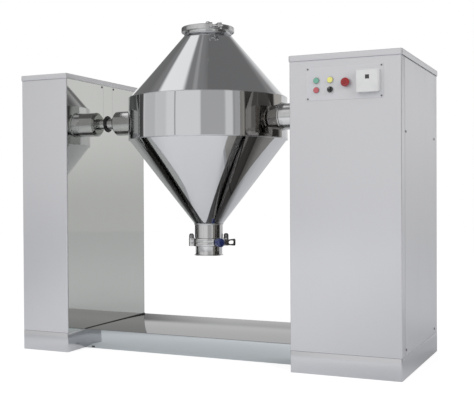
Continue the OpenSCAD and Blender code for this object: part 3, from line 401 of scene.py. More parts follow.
def steel(material, base, rough, grain, stretch=(1, 1, 1), wave=0.0, wave_scale=4.0, smear=0.35,
          mottle=0.06, metal=1.0, edge_tint=1.0, painted_shade=None):
    """Sheet or turned steel: long waves in the sheet, fine grain from brushing, smears of handling
    that take away its shine, and a faint mottle in its colour. edge_tint darkens its glancing
    reflections. The last argument is painted shade: an axis, the place past which the colour is
    darkened, and that darker colour."""
    t = Tree(material)
    cloud = t.noise(CLOUDS, 3.0, 0.6)
    smears = t.noise(SMEARS, 4.0, 0.65, (1.0, 1.0, 0.35)).rise(0.45, 0.8)
    lines = t.noise(BRUSHED, 2.0, 0.6, stretch)
    fine = t.noise(GRAIN, 2.0, 0.5, stretch)
    specks = t.cells(SPECKS).rise(0.10, 0.02) * t.noise(PATCHES).rise(0.55, 0.75)
    tone = cloud * 0.5 + lines * 0.35 + smears * 0.15
    normal = t.bump(t.noise(wave_scale, 1.0, 0.4), wave) if wave else None
    normal = t.bump(lines * 0.6 + fine * 0.4, grain, under=normal)
    base_colour = t.mix(tone, shade(base, 1 - mottle), shade(base, 1 + mottle))
    # painted shade: past the place along the axis the colour goes over into the darker one
    if painted_shade:
        axis, place, shade_colour = painted_shade
        far, near = 0.0020, 0.0006
        at = t.add("ShaderNodeSeparateXYZ", inputs={0: t.place()}, out=axis)
        base_colour = t.mix(at.rise(place - far, place - near), base_colour, shade_colour)
    t.surface(Base_Color=base_colour, Metallic=metal,
              Specular_Tint=(edge_tint, edge_tint, edge_tint, 1.0),
              Roughness=rough + smears * (rough * smear) + (lines - 0.5) * (rough * 0.35)
              + specks * 0.08,
              Normal=normal)


def paint(material, base, rough=0.38):
    """Sprayed paint: orange peel, a lighter tone in patches of wear and dust in the roughness."""
    t = Tree(material)
    wear = t.noise(9.0, 5.0, 0.7).rise(0.62, 0.78)
    tone = t.noise(4.0, 3.0) * 0.6 + wear * 0.4
    t.surface(Base_Color=t.mix(tone, shade(base, 0.85), shade(base, 1.35)),
              Roughness=rough + wear * 0.15 + t.noise(40.0, 3.0) * 0.08,
              Coat_Weight=0.15,
              Normal=t.bump(t.noise(420.0, 2.0), 0.0004))


def cast(material, base):
    """Cast iron: pits and grain under a thin film of oil."""
    t = Tree(material)
    grain = t.noise(180.0, 5.0, 0.7)
    t.surface(Base_Color=t.mix(t.noise(12.0, 4.0), shade(base, 0.7), shade(base, 1.3)),
              Metallic=0.55, Roughness=0.45 + grain * 0.2, Normal=t.bump(grain, 0.0012))


def plastic(material, base, rough, coat=0.25):
    """Moulded plastic: a fine eroded grain, soft rubbing marks and slight variation of tone."""
    t = Tree(material)
    rub = t.noise(30.0, 4.0, 0.65).rise(0.5, 0.8)
    t.surface(Base_Color=t.mix(t.noise(22.0, 3.0), shade(base, 0.9), shade(base, 1.1)),
              Roughness=rough + rub * 0.14, Coat_Weight=coat, IOR=1.49,
              Normal=t.bump(t.noise(1500.0, 2.0) + rub * 0.3, 0.00012))


def rubber(material, base, rough):
    """Moulded rubber: a matt bloom in patches and a fine grain."""
    t = Tree(material)
    bloom = t.noise(35.0, 4.0, 0.6)
    t.surface(Base_Color=t.mix(bloom.rise(0.4, 0.8), base, tuple(c + 0.02 for c in base)),
              Roughness=rough + bloom * 0.2, Normal=t.bump(t.noise(900.0, 3.0), 0.0003))


def window(material, base):
    """Tinted display glass over a dark field with a faint smear."""
    t = Tree(material)
    smear = t.noise(60.0, 3.0, 0.6, (1, 1, 0.4))
    t.surface(Base_Color=t.mix(smear, shade(base, 0.6), shade(base, 1.4)),
              Roughness=0.05 + smear * 0.06, Coat_Weight=1.0, Normal=t.bump(smear, 0.0001))


# the ways that the grain runs: upright, along X, and round the bosses, shafts, fittings and rings
UPRIGHT = (1.0, 1.0, 0.02)
LEVEL_X = (0.02, 1.0, 1.0)
ROUND_BOSS = (1, 0.05, 0.05)
ROUND_SHAFT = (1, 0.04, 0.04)
ROUND_FITTING = (1, 1, 0.2)
ROUND_RING = (1, 1, 0.05)


def finish(slot):
    """The material of a slot or look, made once. The frame's own plain ones have the bare names."""
    found = bpy.data.materials.get(slot + "_finish")
    if found:
        return found
    c = bpy.context.scene.mixer_colours
    sheet = {"smear": 0.2, "mottle": 0.025}
    inner_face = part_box("right_inner_panel")[0].x
    recipes = {
        "cabinet_steel": (steel, c.satin, dict(
            sheet, rough=0.32, grain=0.00001, stretch=UPRIGHT, wave=0.0010, wave_scale=2.6,
            metal=0.65)),
        "plinth_steel": (steel, shade(c.satin, 0.95), dict(
            sheet, rough=0.20, grain=0.00001, stretch=LEVEL_X, wave=0.0006)),
        "lid_steel": (steel, c.satin, dict(
            sheet, rough=0.34, grain=0.00001, stretch=LEVEL_X, wave=0.0004, metal=0.6)),
        "plate_steel": (steel, shade(c.satin, 1.02), dict(
            smear=0.2, mottle=0.03, rough=0.34, grain=0.00002, stretch=LEVEL_X, wave=0.0006,
            wave_scale=6.0, metal=0.5)),
        # the drive cabinet's inner face, past inner_face along X, is painted darker, as shade
        "mirror_steel": (steel, c.mirror, dict(
            rough=0.035, grain=0.0, stretch=UPRIGHT, wave=0.0007, wave_scale=2.2, smear=0.4,
            mottle=0.03, painted_shade=("X", inner_face, c.drive_inner_shade))),
        # the bridge's top is painted darker, as shade
        "bridge_steel": (steel, c.bridge, dict(
            rough=0.06, grain=0.000004, stretch=LEVEL_X, wave=0.0008, wave_scale=2.4, smear=0.3,
            mottle=0.03, edge_tint=0.62, painted_shade=("Z", top_of("bridge_cover"), c.bridge_top_shade))),
        "vessel_steel": (steel, c.vessel, dict(
            rough=0.035, grain=0.000002, wave=0.0006, wave_scale=3.0, smear=0.5, mottle=0.04)),
        "boss_steel": (steel, c.turned, dict(rough=0.14, grain=0.00001, stretch=ROUND_BOSS)),
        "shaft_steel": (steel, c.turned, dict(rough=0.16, grain=0.00002, stretch=ROUND_SHAFT)),
        "fitting_steel": (steel, c.turned, dict(
            rough=0.13, grain=0.00001, stretch=ROUND_FITTING, wave=0.0004, wave_scale=12.0)),
        "ring_steel": (steel, c.turned, dict(rough=0.25, grain=0.000004, stretch=ROUND_RING)),
        "sprocket_steel": (steel, shade(c.turned, 0.6), dict(rough=0.36, grain=0.00005)),
        "chain_steel": (steel, shade(c.turned, 0.45), dict(rough=0.42, grain=0.00008)),
        "screw_steel": (steel, shade(c.turned, 0.35), dict(rough=0.38, grain=0.00002)),
        "nut_steel": (steel, shade(c.turned, 0.42), dict(rough=0.24, grain=0.00001)),
        "collar_metal": (steel, shade(c.turned, 1.1), dict(rough=0.12, grain=0.00001)),
        "frame_paint": (paint, c.paint, {}),
        "drive_paint": (paint, c.drive, dict(rough=0.3)),
        "bearing_iron": (cast, shade(c.paint, 1.6), {}),
        "seal_rubber": (rubber, c.rubber, dict(rough=0.42)),
        "gasket_silicone": (rubber, c.silicone, dict(rough=0.4)),
        "gland_plastic": (plastic, c.black, dict(rough=0.34)),
        "gear_plastic": (plastic, shade(c.timer, 0.88), dict(rough=0.4)),
        "contact_plastic": (plastic, shade(c.timer, 1.05), dict(rough=0.4)),
        "timer_plastic": (plastic, c.timer, dict(rough=0.28)),
        "window_plastic": (window, c.black, {}),
        "hub_plastic": (plastic, c.blue, dict(rough=0.2, coat=0.5)),
        "green_plastic": (plastic, c.green, dict(rough=0.18, coat=0.6)),
        "red_plastic": (plastic, c.red, dict(rough=0.18, coat=0.6)),
        "yellow_plastic": (plastic, c.yellow, dict(rough=0.18, coat=0.6)),
        "black_plastic": (plastic, c.black, dict(rough=0.25, coat=0.4)),
        "stop_plastic": (plastic, c.stop, dict(rough=0.2, coat=0.6)),
    }
    recipe, base, values = recipes[slot]
    material = bpy.data.materials.new(slot + "_finish")
    recipe(material, base, **values)
    return material


# ---------------------------------------------------------------- cabinets


CORNER_STEPS = 12
# radii that the small turned and bent pieces share, from a broken edge to a soft one
FINE, CRISP, EASED, SOFT = 0.0003, 0.0005, 0.001, 0.002


def strip(path, low, high, s, closed=False):
    """An upright sheet carried along a path: its thickness lies inwards, cut edges softened."""
    profile = outline([(0, low), (0, high), (-s.sheet, high), (-s.sheet, low)], s.soft_edge, True, 2)
    return carried(profile, path, closed_path=closed, closed_profile=True)


def inner_faces():
    """Where the two inner panels' polished faces stand along X."""
    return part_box("left_inner_panel")[1].x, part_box("right_inner_panel")[0].x


class MIXER_OT_left_cabinet(bpy.types.Operator):
    """Bends the left cabinet's shell from one sheet, open towards the vessel"""

    bl_idname = "mixer.left_cabinet"
    bl_label = "Left cabinet"

    def execute(self, context):
        s = context.scene.mixer_sizes
        lo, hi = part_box("left_cabinet")
        path = bent_line([(hi.x, hi.y - s.bend), (hi.x, hi.y), (lo.x, hi.y), (lo.x, lo.y),
                          (hi.x, lo.y), (hi.x, lo.y + s.bend)], s.corner, False, CORNER_STEPS)
        solid("left_shell", strip(path, lo.z, hi.z, s), body="stand", replaces=["left_cabinet"],
              slot="cabinet_steel")
        return {"FINISHED"}


class MIXER_OT_right_cabinet(bpy.types.Operator):
    """Bends the drive cabinet's front from one sheet, with its side return below the shadow gap"""

    bl_idname = "mixer.right_cabinet"
    bl_label = "Drive cabinet front"

    def execute(self, context):
        s = context.scene.mixer_sizes
        shadow_gap = 0.031
        lo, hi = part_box("right_cabinet")
        front = bent_line([(lo.x, lo.y + s.bend), (lo.x, lo.y), (hi.x, lo.y), (hi.x, lo.y + s.bend)],
                          s.corner, False, CORNER_STEPS)
        side = bent_line([(hi.x, lo.y + s.bend), (hi.x, lo.y + s.side_return)], 0.0, False)
        side_top = top_of("right_side_panel") - shadow_gap
        solid("drive_front", strip(front, lo.z, hi.z, s), strip(side, lo.z, side_top, s),
              body="stand", replaces=["right_cabinet"], slot="cabinet_steel")
        return {"FINISHED"}


class MIXER_OT_lids(bpy.types.Operator):
    """Folds both lids: shallow pans turned over, a soft fold round the top and a hem under the lip"""

    bl_idname = "mixer.lids"
    bl_label = "Lids"

    def execute(self, context):
        s = context.scene.mixer_sizes
        t, hem, reach = s.sheet, 0.0036, 0.03
        corner, inside = s.corner + 0.004, s.corner + 0.0035
        hem_bend, lip_bend = 0.0006, 0.0012
        for node in ("left_lid", "right_lid"):
            lo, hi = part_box(node)
            path = bent_line(rectangle(lo.x, lo.y, hi.x, hi.y), corner, True, 14)
            pan = outline([(-reach, hi.z), (0, hi.z), (0, lo.z), (-hem, lo.z), (-hem, lo.z + t),
                           (-t, lo.z + t), (-t, hi.z - t), (-reach, hi.z - t)],
                          [0, s.fold, lip_bend, hem_bend, FINE, 0, s.fold - t, 0])
            # no further in than the corner's own radius, where the sheet would fold over itself
            pan[:, 0] = np.maximum(pan[:, 0], -inside)
            solid(node + "_pan", carried(pan, path), body="stand", replaces=[node], slot="lid_steel")
        return {"FINISHED"}


class MIXER_OT_plinths(bpy.types.Operator):
    """Bends the two plinths, folds the bridge with its drain notch and seals the bridge's ends"""

    bl_idname = "mixer.plinths"
    bl_label = "Plinths and bridge"

    def execute(self, context):
        s = context.scene.mixer_sizes
        for node in ("left_plinth", "right_plinth"):
            lo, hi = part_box(node)
            path = bent_line(rectangle(lo.x, lo.y, hi.x, hi.y), s.corner, True, CORNER_STEPS)
            solid(node + "_skirt", strip(path, lo.z, hi.z, s, True), body="stand", replaces=[node],
                  slot="cabinet_steel", look="plinth_steel")
        lo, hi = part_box("bridge_cover")
        t, notch = s.sheet, lo.x + s.notch_inset
        near, far = notch - s.notch_width / 2, notch + s.notch_width / 2
        parts = []
        for x0, x1, foot in ((lo.x, near, lo.z), (near, far, lo.z + s.notch_height),
                             (far, hi.x, lo.z)):
            fold = outline([(lo.y, foot), (lo.y, hi.z), (hi.y, hi.z), (hi.y, lo.z), (hi.y - t, lo.z),
                            (hi.y - t, hi.z - t), (lo.y + t, hi.z - t), (lo.y + t, foot)],
                           [CRISP, s.fold, s.fold, CRISP, CRISP, EASED, EASED, CRISP], True)
            parts.append(pulled(fold, x0, x1, "yzx"))
        solid("bridge_fold", *parts, body="stand", replaces=["bridge_cover"], slot="bridge_steel")
        sunk, bow = 0.0005, s.joint * 0.2
        for side, face, way in zip(("left", "right"), inner_faces(), (1, -1)):
            bead = outline([(face, hi.z - sunk), (face + way * s.joint, hi.z - sunk),
                            (face, hi.z + s.joint)], [0, bow, bow], True, 4)
            solid(side + "_joint_seal", pulled(bead, lo.y + s.fold, hi.y - s.fold, "xzy"),
                  body="stand", slot="seal_rubber")
        return {"FINISHED"}


class MIXER_OT_shaft_seals(bpy.types.Operator):
    """Turns the two rubber rings round the shafts, each with a rounded lip"""

    bl_idname = "mixer.shaft_seals"
    bl_label = "Shaft seals"

    def execute(self, context):
        s = context.scene.mixer_sizes
        lo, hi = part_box("shaft_seals")
        radius, bore = (hi.z - lo.z) / 2, s.shaft_radius + 0.0002
        depth, behind_face, lip, groove = 0.018, 0.014, 0.006, 0.004
        loop = outline([(bore, 0), (radius, 0), (radius, depth), (bore + lip, depth),
                        (bore + groove, depth - 0.002), (bore, depth - 0.001)],
                       [FINE, EASED, 0.0035, 0.0015, EASED, CRISP], True)
        rings = [turned(loop, (face - way * behind_face, 0, s.axis_height), (way, 0, 0), 96,
                        closed_profile=True) for face, way in zip(inner_faces(), (1, -1))]
        solid("seal_rings", *rings, body="stand", replaces=["shaft_seals"], slot="seal_rubber")
        return {"FINISHED"}


class MIXER_OT_screws(bpy.types.Operator):
    """Turns the panels' domed screw heads, each with a driver recess"""

    bl_idname = "mixer.screws"
    bl_label = "Panel screws"

    def execute(self, context):
        panel_head, plate_head, tall, sunk = 0.006, 0.004, 0.0025, 0.0005
        below_top, apart, inset = 0.036, 0.058, 0.008
        side_apart, side_heights = 0.315, (0.127, 1.093)
        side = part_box("right_side_panel")[1].x
        lo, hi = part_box("control_plate")
        top = top_of("left_inner_panel") - below_top
        places = [((face, y, top), (way, 0, 0), panel_head)
                  for face, way in zip(inner_faces(), (1, -1)) for y in (-apart, apart)]
        places += [((side, y, z), (1, 0, 0), panel_head)
                   for y in (-side_apart, side_apart) for z in side_heights]
        places += [((x, lo.y, z), (0, -1, 0), plate_head)
                   for x in (lo.x + inset, hi.x - inset) for z in (lo.z + inset, hi.z - inset)]
        heads = []
        for at, axis, r in places:
            # the dome and its recess, as shares of the head's radius and height
            head = outline([(0, -sunk), (r, -sunk), (r, tall * 0.62), (r * 0.62, tall),
                            (r * 0.42, tall), (r * 0.38, tall * 0.45), (0, tall * 0.42)],
                           [0, 0.0001, 0.0007, 0.0008, 0.0002, 0.0002, 0], steps=4)
            heads.append(turned(head, at, axis, 24))
        solid("screw_heads", *heads, body="stand", replaces=["panel_screws"], slot="screw_steel")
        return {"FINISHED"}


# ---------------------------------------------------------------- vessel


BEAD_STEPS = 12


def ring_of(loop, radii, z, steps):
    """A closed loop of (radius, height) turned about the vessel's own axis."""
    return turned(outline(loop, radii, True), (0, 0, z), (0, 0, 1), steps, closed_profile=True)


def weld_bead(radius, height, weld, z, steps):
    """A weld bead: a small round carried round the vessel, weld * (1 + 0.06 sin 180 t) thick, which
    gives it its ripples."""
    a, t = angles(BEAD_STEPS), angles(steps * 4)
    swell = weld * (1 + 0.06 * np.sin(t * 180))[:, None]
    across = radius + swell * np.cos(a)
    grid = np.stack([across * np.cos(t)[:, None], across * np.sin(t)[:, None],
                     z + height + swell * np.sin(a)], -1)
    return grid, True, True, False


class MIXER_OT_vessel(bpy.types.Operator):
    """Rolls the two cones and the band round the vessel's middle, with their weld beads"""

    bl_idname = "mixer.vessel"
    bl_label = "Cones and band"

    def execute(self, context):
        s = context.scene.mixer_sizes
        z, n, wall, weld = s.axis_height, s.round_steps, s.cone_wall, s.weld
        lo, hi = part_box("vessel_belt")
        band, half = hi.x, (hi.z - lo.z) / 2
        base = band - s.band_proud
        for name, node, sign, r, h in (
                ("cone_above", "upper_cone", 1, s.neck_radius, top_of("upper_cone") - z),
                ("cone_below", "lower_cone", -1, s.outlet_radius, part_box("lower_cone")[0].z - z)):
            rise = h - sign * half
            level_wall = wall * math.hypot(rise, r - base) / abs(rise)
            share = np.linspace(0, 1, 9)[:, None]
            outer = np.array([base, sign * half]) + share * np.array([r - base, rise])
            inner = outer[::-1] - np.array([level_wall, 0])
            cone = turned(np.concatenate([outer, inner]), (0, 0, z), (0, 0, 1), n,
                          closed_profile=True)
            foot = weld_bead(base + weld * 0.2, sign * (half + weld * 0.1), weld * 0.9, z, n)
            neck = weld_bead(r + weld * 0.25, h, weld, z, n)
            solid(name, cone, foot, neck, body="vessel", replaces=[node], slot="vessel_steel")
        loop = [(base - wall, -half), (band, -half), (band, half), (base - wall, half)]
        solid("band", ring_of(loop, [FINE, s.band_edge, s.band_edge, FINE], z, n), body="vessel",
              replaces=["vessel_belt"], slot="vessel_steel")
        return {"FINISHED"}


class MIXER_OT_trunnions(bpy.types.Operator):
    """Turns the trunnion bosses and shafts, and lays a weld along each boss's saddle on the band"""

    bl_idname = "mixer.trunnions"
    bl_label = "Trunnions"

    def execute(self, context):
        s = context.scene.mixer_sizes
        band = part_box("vessel_belt")[1].x
        boss, bore, r = s.boss_radius, s.shaft_radius + 0.0005, s.shaft_radius
        throat, barrel, root, wall, sunk = 0.004, 0.05, 0.09, 0.02, 0.002
        weld, proud = 0.0045, 0.001
        chamfer, pip, pip_floor, pip_deep = 0.002, 0.004, 0.003, 0.006
        a, t = angles(BEAD_STEPS), angles(128)

        def saddle(radius):
            """Where a tube of this radius along X meets the band: sqrt(band^2 - (radius cos t)^2)."""
            return np.sqrt(band ** 2 - (radius * np.cos(t)) ** 2)

        def ring(x, radius):
            """A ring of points round X, all at one place or each at its own."""
            return np.stack([np.broadcast_to(x, t.shape), radius * np.cos(t), radius * np.sin(t)], -1)

        for side, way in (("left", -1), ("right", 1)):
            lo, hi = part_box(side + "_trunnion")
            end = hi.x if way > 0 else -lo.x
            face = outline([(bore, end - throat), (bore, end), (boss - s.boss_chamfer, end),
                            (boss, end - s.boss_chamfer), (boss, end - barrel)],
                           [0, EASED, SOFT, SOFT, 0])
            rings = [ring(x, radius) for radius, x in face]
            rings += [ring(saddle(boss), boss), ring(saddle(boss - wall) - sunk, boss - wall),
                      ring(end - root, bore)]
            # the saddle's weld: a small round carried along it, with 90 ripples
            swell = weld * (1 + 0.05 * np.sin(t * 90))[:, None]
            across = boss + proud + swell * np.cos(a)
            bead = np.stack([saddle(boss)[:, None] + proud + swell * np.sin(a),
                             across * np.cos(t)[:, None], across * np.sin(t)[:, None]], -1)
            grids = np.stack(rings, 1), bead
            for grid in grids:
                grid[..., 0] *= way
                grid[..., 2] += s.axis_height
            solid(side + "_boss", *((grid, True, True, False) for grid in grids), body="vessel",
                  replaces=[side + "_trunnion"], slot="boss_steel")
            lo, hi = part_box(side + "_shaft")
            x0, x1 = (lo.x, hi.x) if way > 0 else (-hi.x, -lo.x)
            axle = outline([(0, x0), (r, x0), (r, x1 - chamfer), (r - chamfer, x1), (pip, x1),
                            (pip_floor, x1 - pip), (0, x1 - pip_deep)],
                           [0, CRISP, CRISP, CRISP, CRISP, CRISP, 0], steps=3)
            solid(side + "_axle", turned(axle, (0, 0, s.axis_height), (way, 0, 0), 96),
                  body="vessel", replaces=[side + "_shaft"], slot="shaft_steel")
        return {"FINISHED"}


class MIXER_OT_manhole(bpy.types.Operator):
    """Turns the manhole's neck, the lid with its knob and the split clamp ring with its lugs"""

    bl_idname = "mixer.manhole"
    bl_label = "Manhole"

    def execute(self, context):
        s = context.scene.mixer_sizes
        z = s.axis_height
        self.neck(s, z)
        self.lid(z)
        self.clamp(s, z)
        return {"FINISHED"}

    def neck(self, s, z):
        lo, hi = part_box("manhole_neck")
        outer, bore, flange = s.neck_radius, s.neck_radius - 0.004, hi.x
        low, top, under = lo.z - z, hi.z - z, hi.z - z - 0.008
        loop = [(bore, low), (outer, low), (outer, under), (flange, under), (flange, top), (bore, top)]
        solid("manhole_throat",
              ring_of(loop, [FINE, FINE, 0.003, EASED, EASED, EASED], z, s.round_steps),
              body="vessel", replaces=["manhole_neck"], slot="fitting_steel")

    def lid(self, z):
        lo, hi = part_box("manhole_lid")
        edge, low, top = hi.x, lo.z - z, hi.z - z
        plate, foot, stem, knob, knob_tall, neck = 0.008, 0.012, 0.007, 0.011, 0.015, 0.002
        lid = outline([(0, low), (edge, low), (edge, low + plate), (edge * 0.8, low + plate),
                       (foot, low + plate), (stem, low + plate + neck),
                       (stem, top - knob_tall - neck), (knob, top - knob_tall), (knob, top), (0, top)],
                      [0, EASED, SOFT, SOFT, SOFT, EASED, SOFT, SOFT, 0.0045, 0], steps=6)
        solid("lid_and_knob", turned(lid, (0, 0, z), (0, 0, 1), 128), body="manhole_cover",
              replaces=["manhole_lid"], slot="fitting_steel")

    def clamp(self, s, z):
        """The ring is turned short of a whole round, and an upright lug stands each side of its gap."""
        lo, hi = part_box("lid_clamp")
        r, half, mid = s.clamp_radius, s.clamp_height / 2, (lo.z + hi.z) / 2 - z
        low, high = mid - half, mid + half
        seat, shelf, skirt = r - 0.023, high - 0.004, r - 0.007
        loop = outline([(r, low), (r, high), (seat, high), (seat, shelf), (skirt, shelf),
                        (skirt, low)], [0.003, 0.005, 0.0015, 0.0015, EASED, EASED], True, 6)
        azimuth, near, far, lug_in, lug_out = math.radians(-51.0), 0.014, 0.026, 0.136, 0.168
        gap = math.asin(near / r) * 1.02
        parts = [turned(loop, (0, 0, z), (0, 0, 1), s.round_steps, azimuth + gap,
                        2 * math.pi - 2 * gap, True)]
        out = np.array([math.cos(azimuth), math.sin(azimuth), 0])
        across = np.array([-out[1], out[0], 0])
        lug = slab(bent_line(rectangle(lug_in, -half, lug_out, half), 0.006, True, 5), near, far,
                   0.0015)[0]
        for side in (-1, 1):
            grid = lug[..., :1] * out + side * lug[..., 2:] * across
            grid[..., 2] = z + mid + lug[..., 1]
            parts.append((grid, True, False, True))
        solid("clamp_band", *parts, body="manhole_cover", replaces=["lid_clamp"], slot="ring_steel")


class MIXER_OT_valve(bpy.types.Operator):
    """Turns the valve's two halves with the neck and the spigot, the hand nuts and the blue hub"""

    bl_idname = "mixer.valve"
    bl_label = "Discharge valve"

    # heights of the halves' outer faces from the trunnion axis, and the way that the ears point
    face, base = -0.625, -0.667
    ears = math.radians(30.0)

    def execute(self, context):
        s = context.scene.mixer_sizes
        self.halves(s, s.axis_height)
        self.nuts(s.axis_height)
        self.hub(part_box("valve_upper_half")[0].z)
        return {"FINISHED"}

    def ear_pair(self, low, high):
        """An ear each side: a rounded plate that reaches over the bolt, turned about the outlet."""
        near, far, half, edge = 0.070, 0.106, 0.014, 0.002
        path = bent_line(rectangle(near, -half, far, half), half - CRISP, True, 8)
        plate = slab(path, low, high, edge)[0]
        for a in (self.ears, self.ears + math.pi):
            ear = plate.copy()
            ear[..., 0] = plate[..., 0] * math.cos(a) - plate[..., 1] * math.sin(a)
            ear[..., 1] = plate[..., 0] * math.sin(a) + plate[..., 1] * math.cos(a)
            yield ear, True, False, True

    def halves(self, s, z):
        neck, r, bore, seat = s.outlet_radius, s.valve_radius, 0.071, 0.078
        upper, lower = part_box("valve_upper_half"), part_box("valve_lower_half")
        top, mid, low = upper[1].z - z, upper[0].z - z, lower[0].z - z
        face, base, groove = self.face, self.base, self.face - 0.0115
        loop = [(bore, top), (bore, groove), (seat, groove), (seat, mid), (r, mid), (r, face),
                (neck, face), (neck, top)]
        radii = [FINE, CRISP, CRISP, EASED, SOFT, 0.003, 0.003, FINE]
        solid("valve_upper", ring_of(loop, radii, z, 128), *self.ear_pair(z + mid, z + face),
              body="vessel", replaces=["valve_upper_half"], slot="fitting_steel")
        # the lower half ends in a spigot with a lip
        groove, ledge = mid - 0.0095, base + 0.004
        spigot, pipe, lip, lip_top = 0.0685, 0.0705, 0.0765, low + 0.005
        loop = [(seat, mid), (seat, groove), (bore, groove), (bore, ledge), (spigot, ledge),
                (spigot, low), (lip, low), (lip, lip_top), (pipe, lip_top), (pipe, base), (r, base),
                (r, mid)]
        radii = [CRISP, CRISP, CRISP, EASED, EASED, 0.0008, 0.0015, 0.0015, 0.0015, SOFT, 0.003, SOFT]
        solid("valve_lower", ring_of(loop, radii, z, 128), *self.ear_pair(z + base, z + mid),
              body="vessel", replaces=["valve_lower_half"], slot="fitting_steel")

    def nuts(self, z):
        """A bolt through each pair of ears with a domed nut on top."""
        bolt, nut, crown, at = 0.0055, 0.013, 0.007, 0.092
        foot, shoulder, top = self.face - 0.0005, self.face + 0.017, self.face + 0.024
        dome = outline([(0, self.base), (bolt, self.base), (bolt, foot), (nut, foot), (nut, shoulder),
                        (crown, top), (0, top)], [0, CRISP, CRISP, EASED, 0.004, 0.004, 0], steps=6)
        solid("hand_nuts", *(turned(dome, (at * math.cos(a), at * math.sin(a), z), (0, 0, 1), 40)
                             for a in (self.ears, self.ears + math.pi)),
              body="vessel", replaces=["valve_bolts"], slot="nut_steel")

    def hub(self, height):
        """The handle's hub. Its radius shrinks by 0.035 * (0.5 + 0.5 cos 8t), eight shallow flutes for
        the fingers."""
        stem = math.radians(-32.0)
        out = np.array((math.cos(stem), math.sin(stem), 0))
        inner, outer, root, r, nose = 0.0902, 0.128, 0.0215, 0.0235, 0.016
        profile = outline([(0, inner), (root, inner), (r, inner + 0.004), (r, outer - 0.007),
                           (nose, outer), (0, outer)], [0, EASED, SOFT, 0.005, 0.003, 0], steps=6)
        grid, *rest = turned(profile, (0, 0, height), out, 96)
        centre = np.array([0, 0, height]) + out * (grid @ out)[..., None]
        t = angles(len(grid))[:, None, None]
        grid = centre + (grid - centre) * (1 - 0.035 * (0.5 + 0.5 * np.cos(8 * t)))
        solid("valve_hub", (grid, *rest), body="butterfly", replaces=["handle_hub"],
              slot="hub_plastic")


# ---------------------------------------------------------------- controls


BUTTONS = (("green_button", "green_push", "green_plastic"), ("red_button", "red_push", "red_plastic"),
           ("yellow_button", "yellow_push", "yellow_plastic"))


def plate_face():
    """Where the control plate's face stands along Y."""
    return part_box("control_plate")[0].y


def standing_out(node):
    """How far a control stands out from the plate."""
    return plate_face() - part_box(node)[0].y


def on_plate(profile, node, steps=64, closed=False):
    """A profile of (radius, height above the plate) turned about a control's own axis."""
    lo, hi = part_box(node)
    mid = (lo + hi) / 2
    return turned(profile, (mid.x, plate_face(), mid.z), (0, -1, 0), steps, closed_profile=closed)


class MIXER_OT_buttons(bpy.types.Operator):
    """Turns the collars and the push-buttons' dished caps"""

    bl_idname = "mixer.buttons"
    bl_label = "Push-buttons"

    def execute(self, context):
        s = context.scene.mixer_sizes
        r, cap = s.collar_radius, s.cap_radius
        bore, thread, back, shoulder, rim, ledge = 0.0092, 0.011, -0.028, 0.0045, 0.006, 0.0017
        collar = outline([(bore, back), (thread, back), (thread, 0), (r, 0), (r, shoulder),
                          (r - 0.0007, rim), (cap + 0.0004, rim), (cap + 0.0002, ledge),
                          (bore, ledge)],
                         [FINE, FINE, FINE, CRISP, 0.0012, 0.0008, 0.0004, 0.0002, FINE], True, 4)
        nodes = [button[0] for button in BUTTONS] + ["selector_knob", "stop_mushroom"]
        solid("collars", *(on_plate(collar, node, closed=True) for node in nodes), body="stand",
              replaces=["button_collars"], slot="collar_metal")
        travel, rest, side, brim, dish = 0.0035, 0.0018, cap - 0.0002, cap - 0.003, 0.0006
        for node, body, slot in BUTTONS:
            front = standing_out(node)
            profile = outline([(0, travel + rest), (side, travel + rest), (side, front - dish),
                               (brim, front), (0, front - dish)],
                              [0, FINE, 0.0015, SOFT, 0], steps=6)
            solid(node + "_cap", on_plate(profile, node), body=body, replaces=[node], slot=slot)
        return {"FINISHED"}


class MIXER_OT_knobs(bpy.types.Operator):
    """Turns the stop mushroom, and shapes the selector's round base with its grip"""

    bl_idname = "mixer.knobs"
    bl_label = "Stop and selector"

    def execute(self, context):
        self.stop(context.scene.mixer_sizes.mushroom_radius)
        self.selector()
        return {"FINISHED"}

    def stop(self, r):
        """The mushroom's head on its stem, and the thin ring let into its face."""
        node = "stop_mushroom"
        front = standing_out(node)
        stem, low, under, shoulder, brow = 0.0086, 0.0068, front - 0.0135, front - 0.011, front - 0.006
        head = outline([(0, low), (stem, low), (stem, under), (r - 0.001, under), (r, shoulder),
                        (r, brow), (r - 0.006, front), (0, front)],
                       [0, FINE, SOFT, EASED, EASED, 0.004, 0.006, 0], steps=8)
        solid("stop_head", on_plate(head, node, 96), body="stop", replaces=[node],
              slot="stop_plastic")
        flush, foot, bend = front, front - 0.0022, 0.0004
        ring = outline([(0.0062, foot), (0.0092, foot), (0.0088, flush), (0.0066, flush)],
                       [0, 0, bend, bend], True, 4)
        solid("stop_ring", on_plate(ring, node, closed=True), body="stop", slot="red_plastic")

    def selector(self):
        """A round base, a bar across it to grip and a pale line along the bar's upper half."""
        node = "selector_knob"
        lo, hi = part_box(node)
        mid, plate = (lo + hi) / 2, plate_face()
        low, edge, top, r, crown = 0.0064, 0.010, 0.0112, 0.0128, 0.0115
        base = outline([(0, low), (r, low), (r, edge), (crown, top), (0, top)],
                       [0, FINE, EASED, EASED, 0])
        half, long, foot, bend = 0.0034, 0.0117, 0.0105, 0.0016
        path = bent_line(rectangle(mid.x - half, mid.z - long, mid.x + half, mid.z + long), 0.0033,
                         True, 6)
        grip = slab(path, lo.y, plate - foot, bend, "xzy", 4)
        solid("selector_grip", on_plate(base, node), grip, body="selector", replaces=[node],
              slot="black_plastic")
        half, near, far, proud, sunk = 0.0006, 0.002, 0.0102, 0.00025, 0.0005
        path = bent_line(rectangle(mid.x - half, mid.z + near, mid.x + half, mid.z + far), 0.0004,
                         True, 3)
        solid("selector_mark", slab(path, lo.y - proud, lo.y + sunk, 0.0001, "xzy", 2),
              body="selector", slot="timer_plastic")


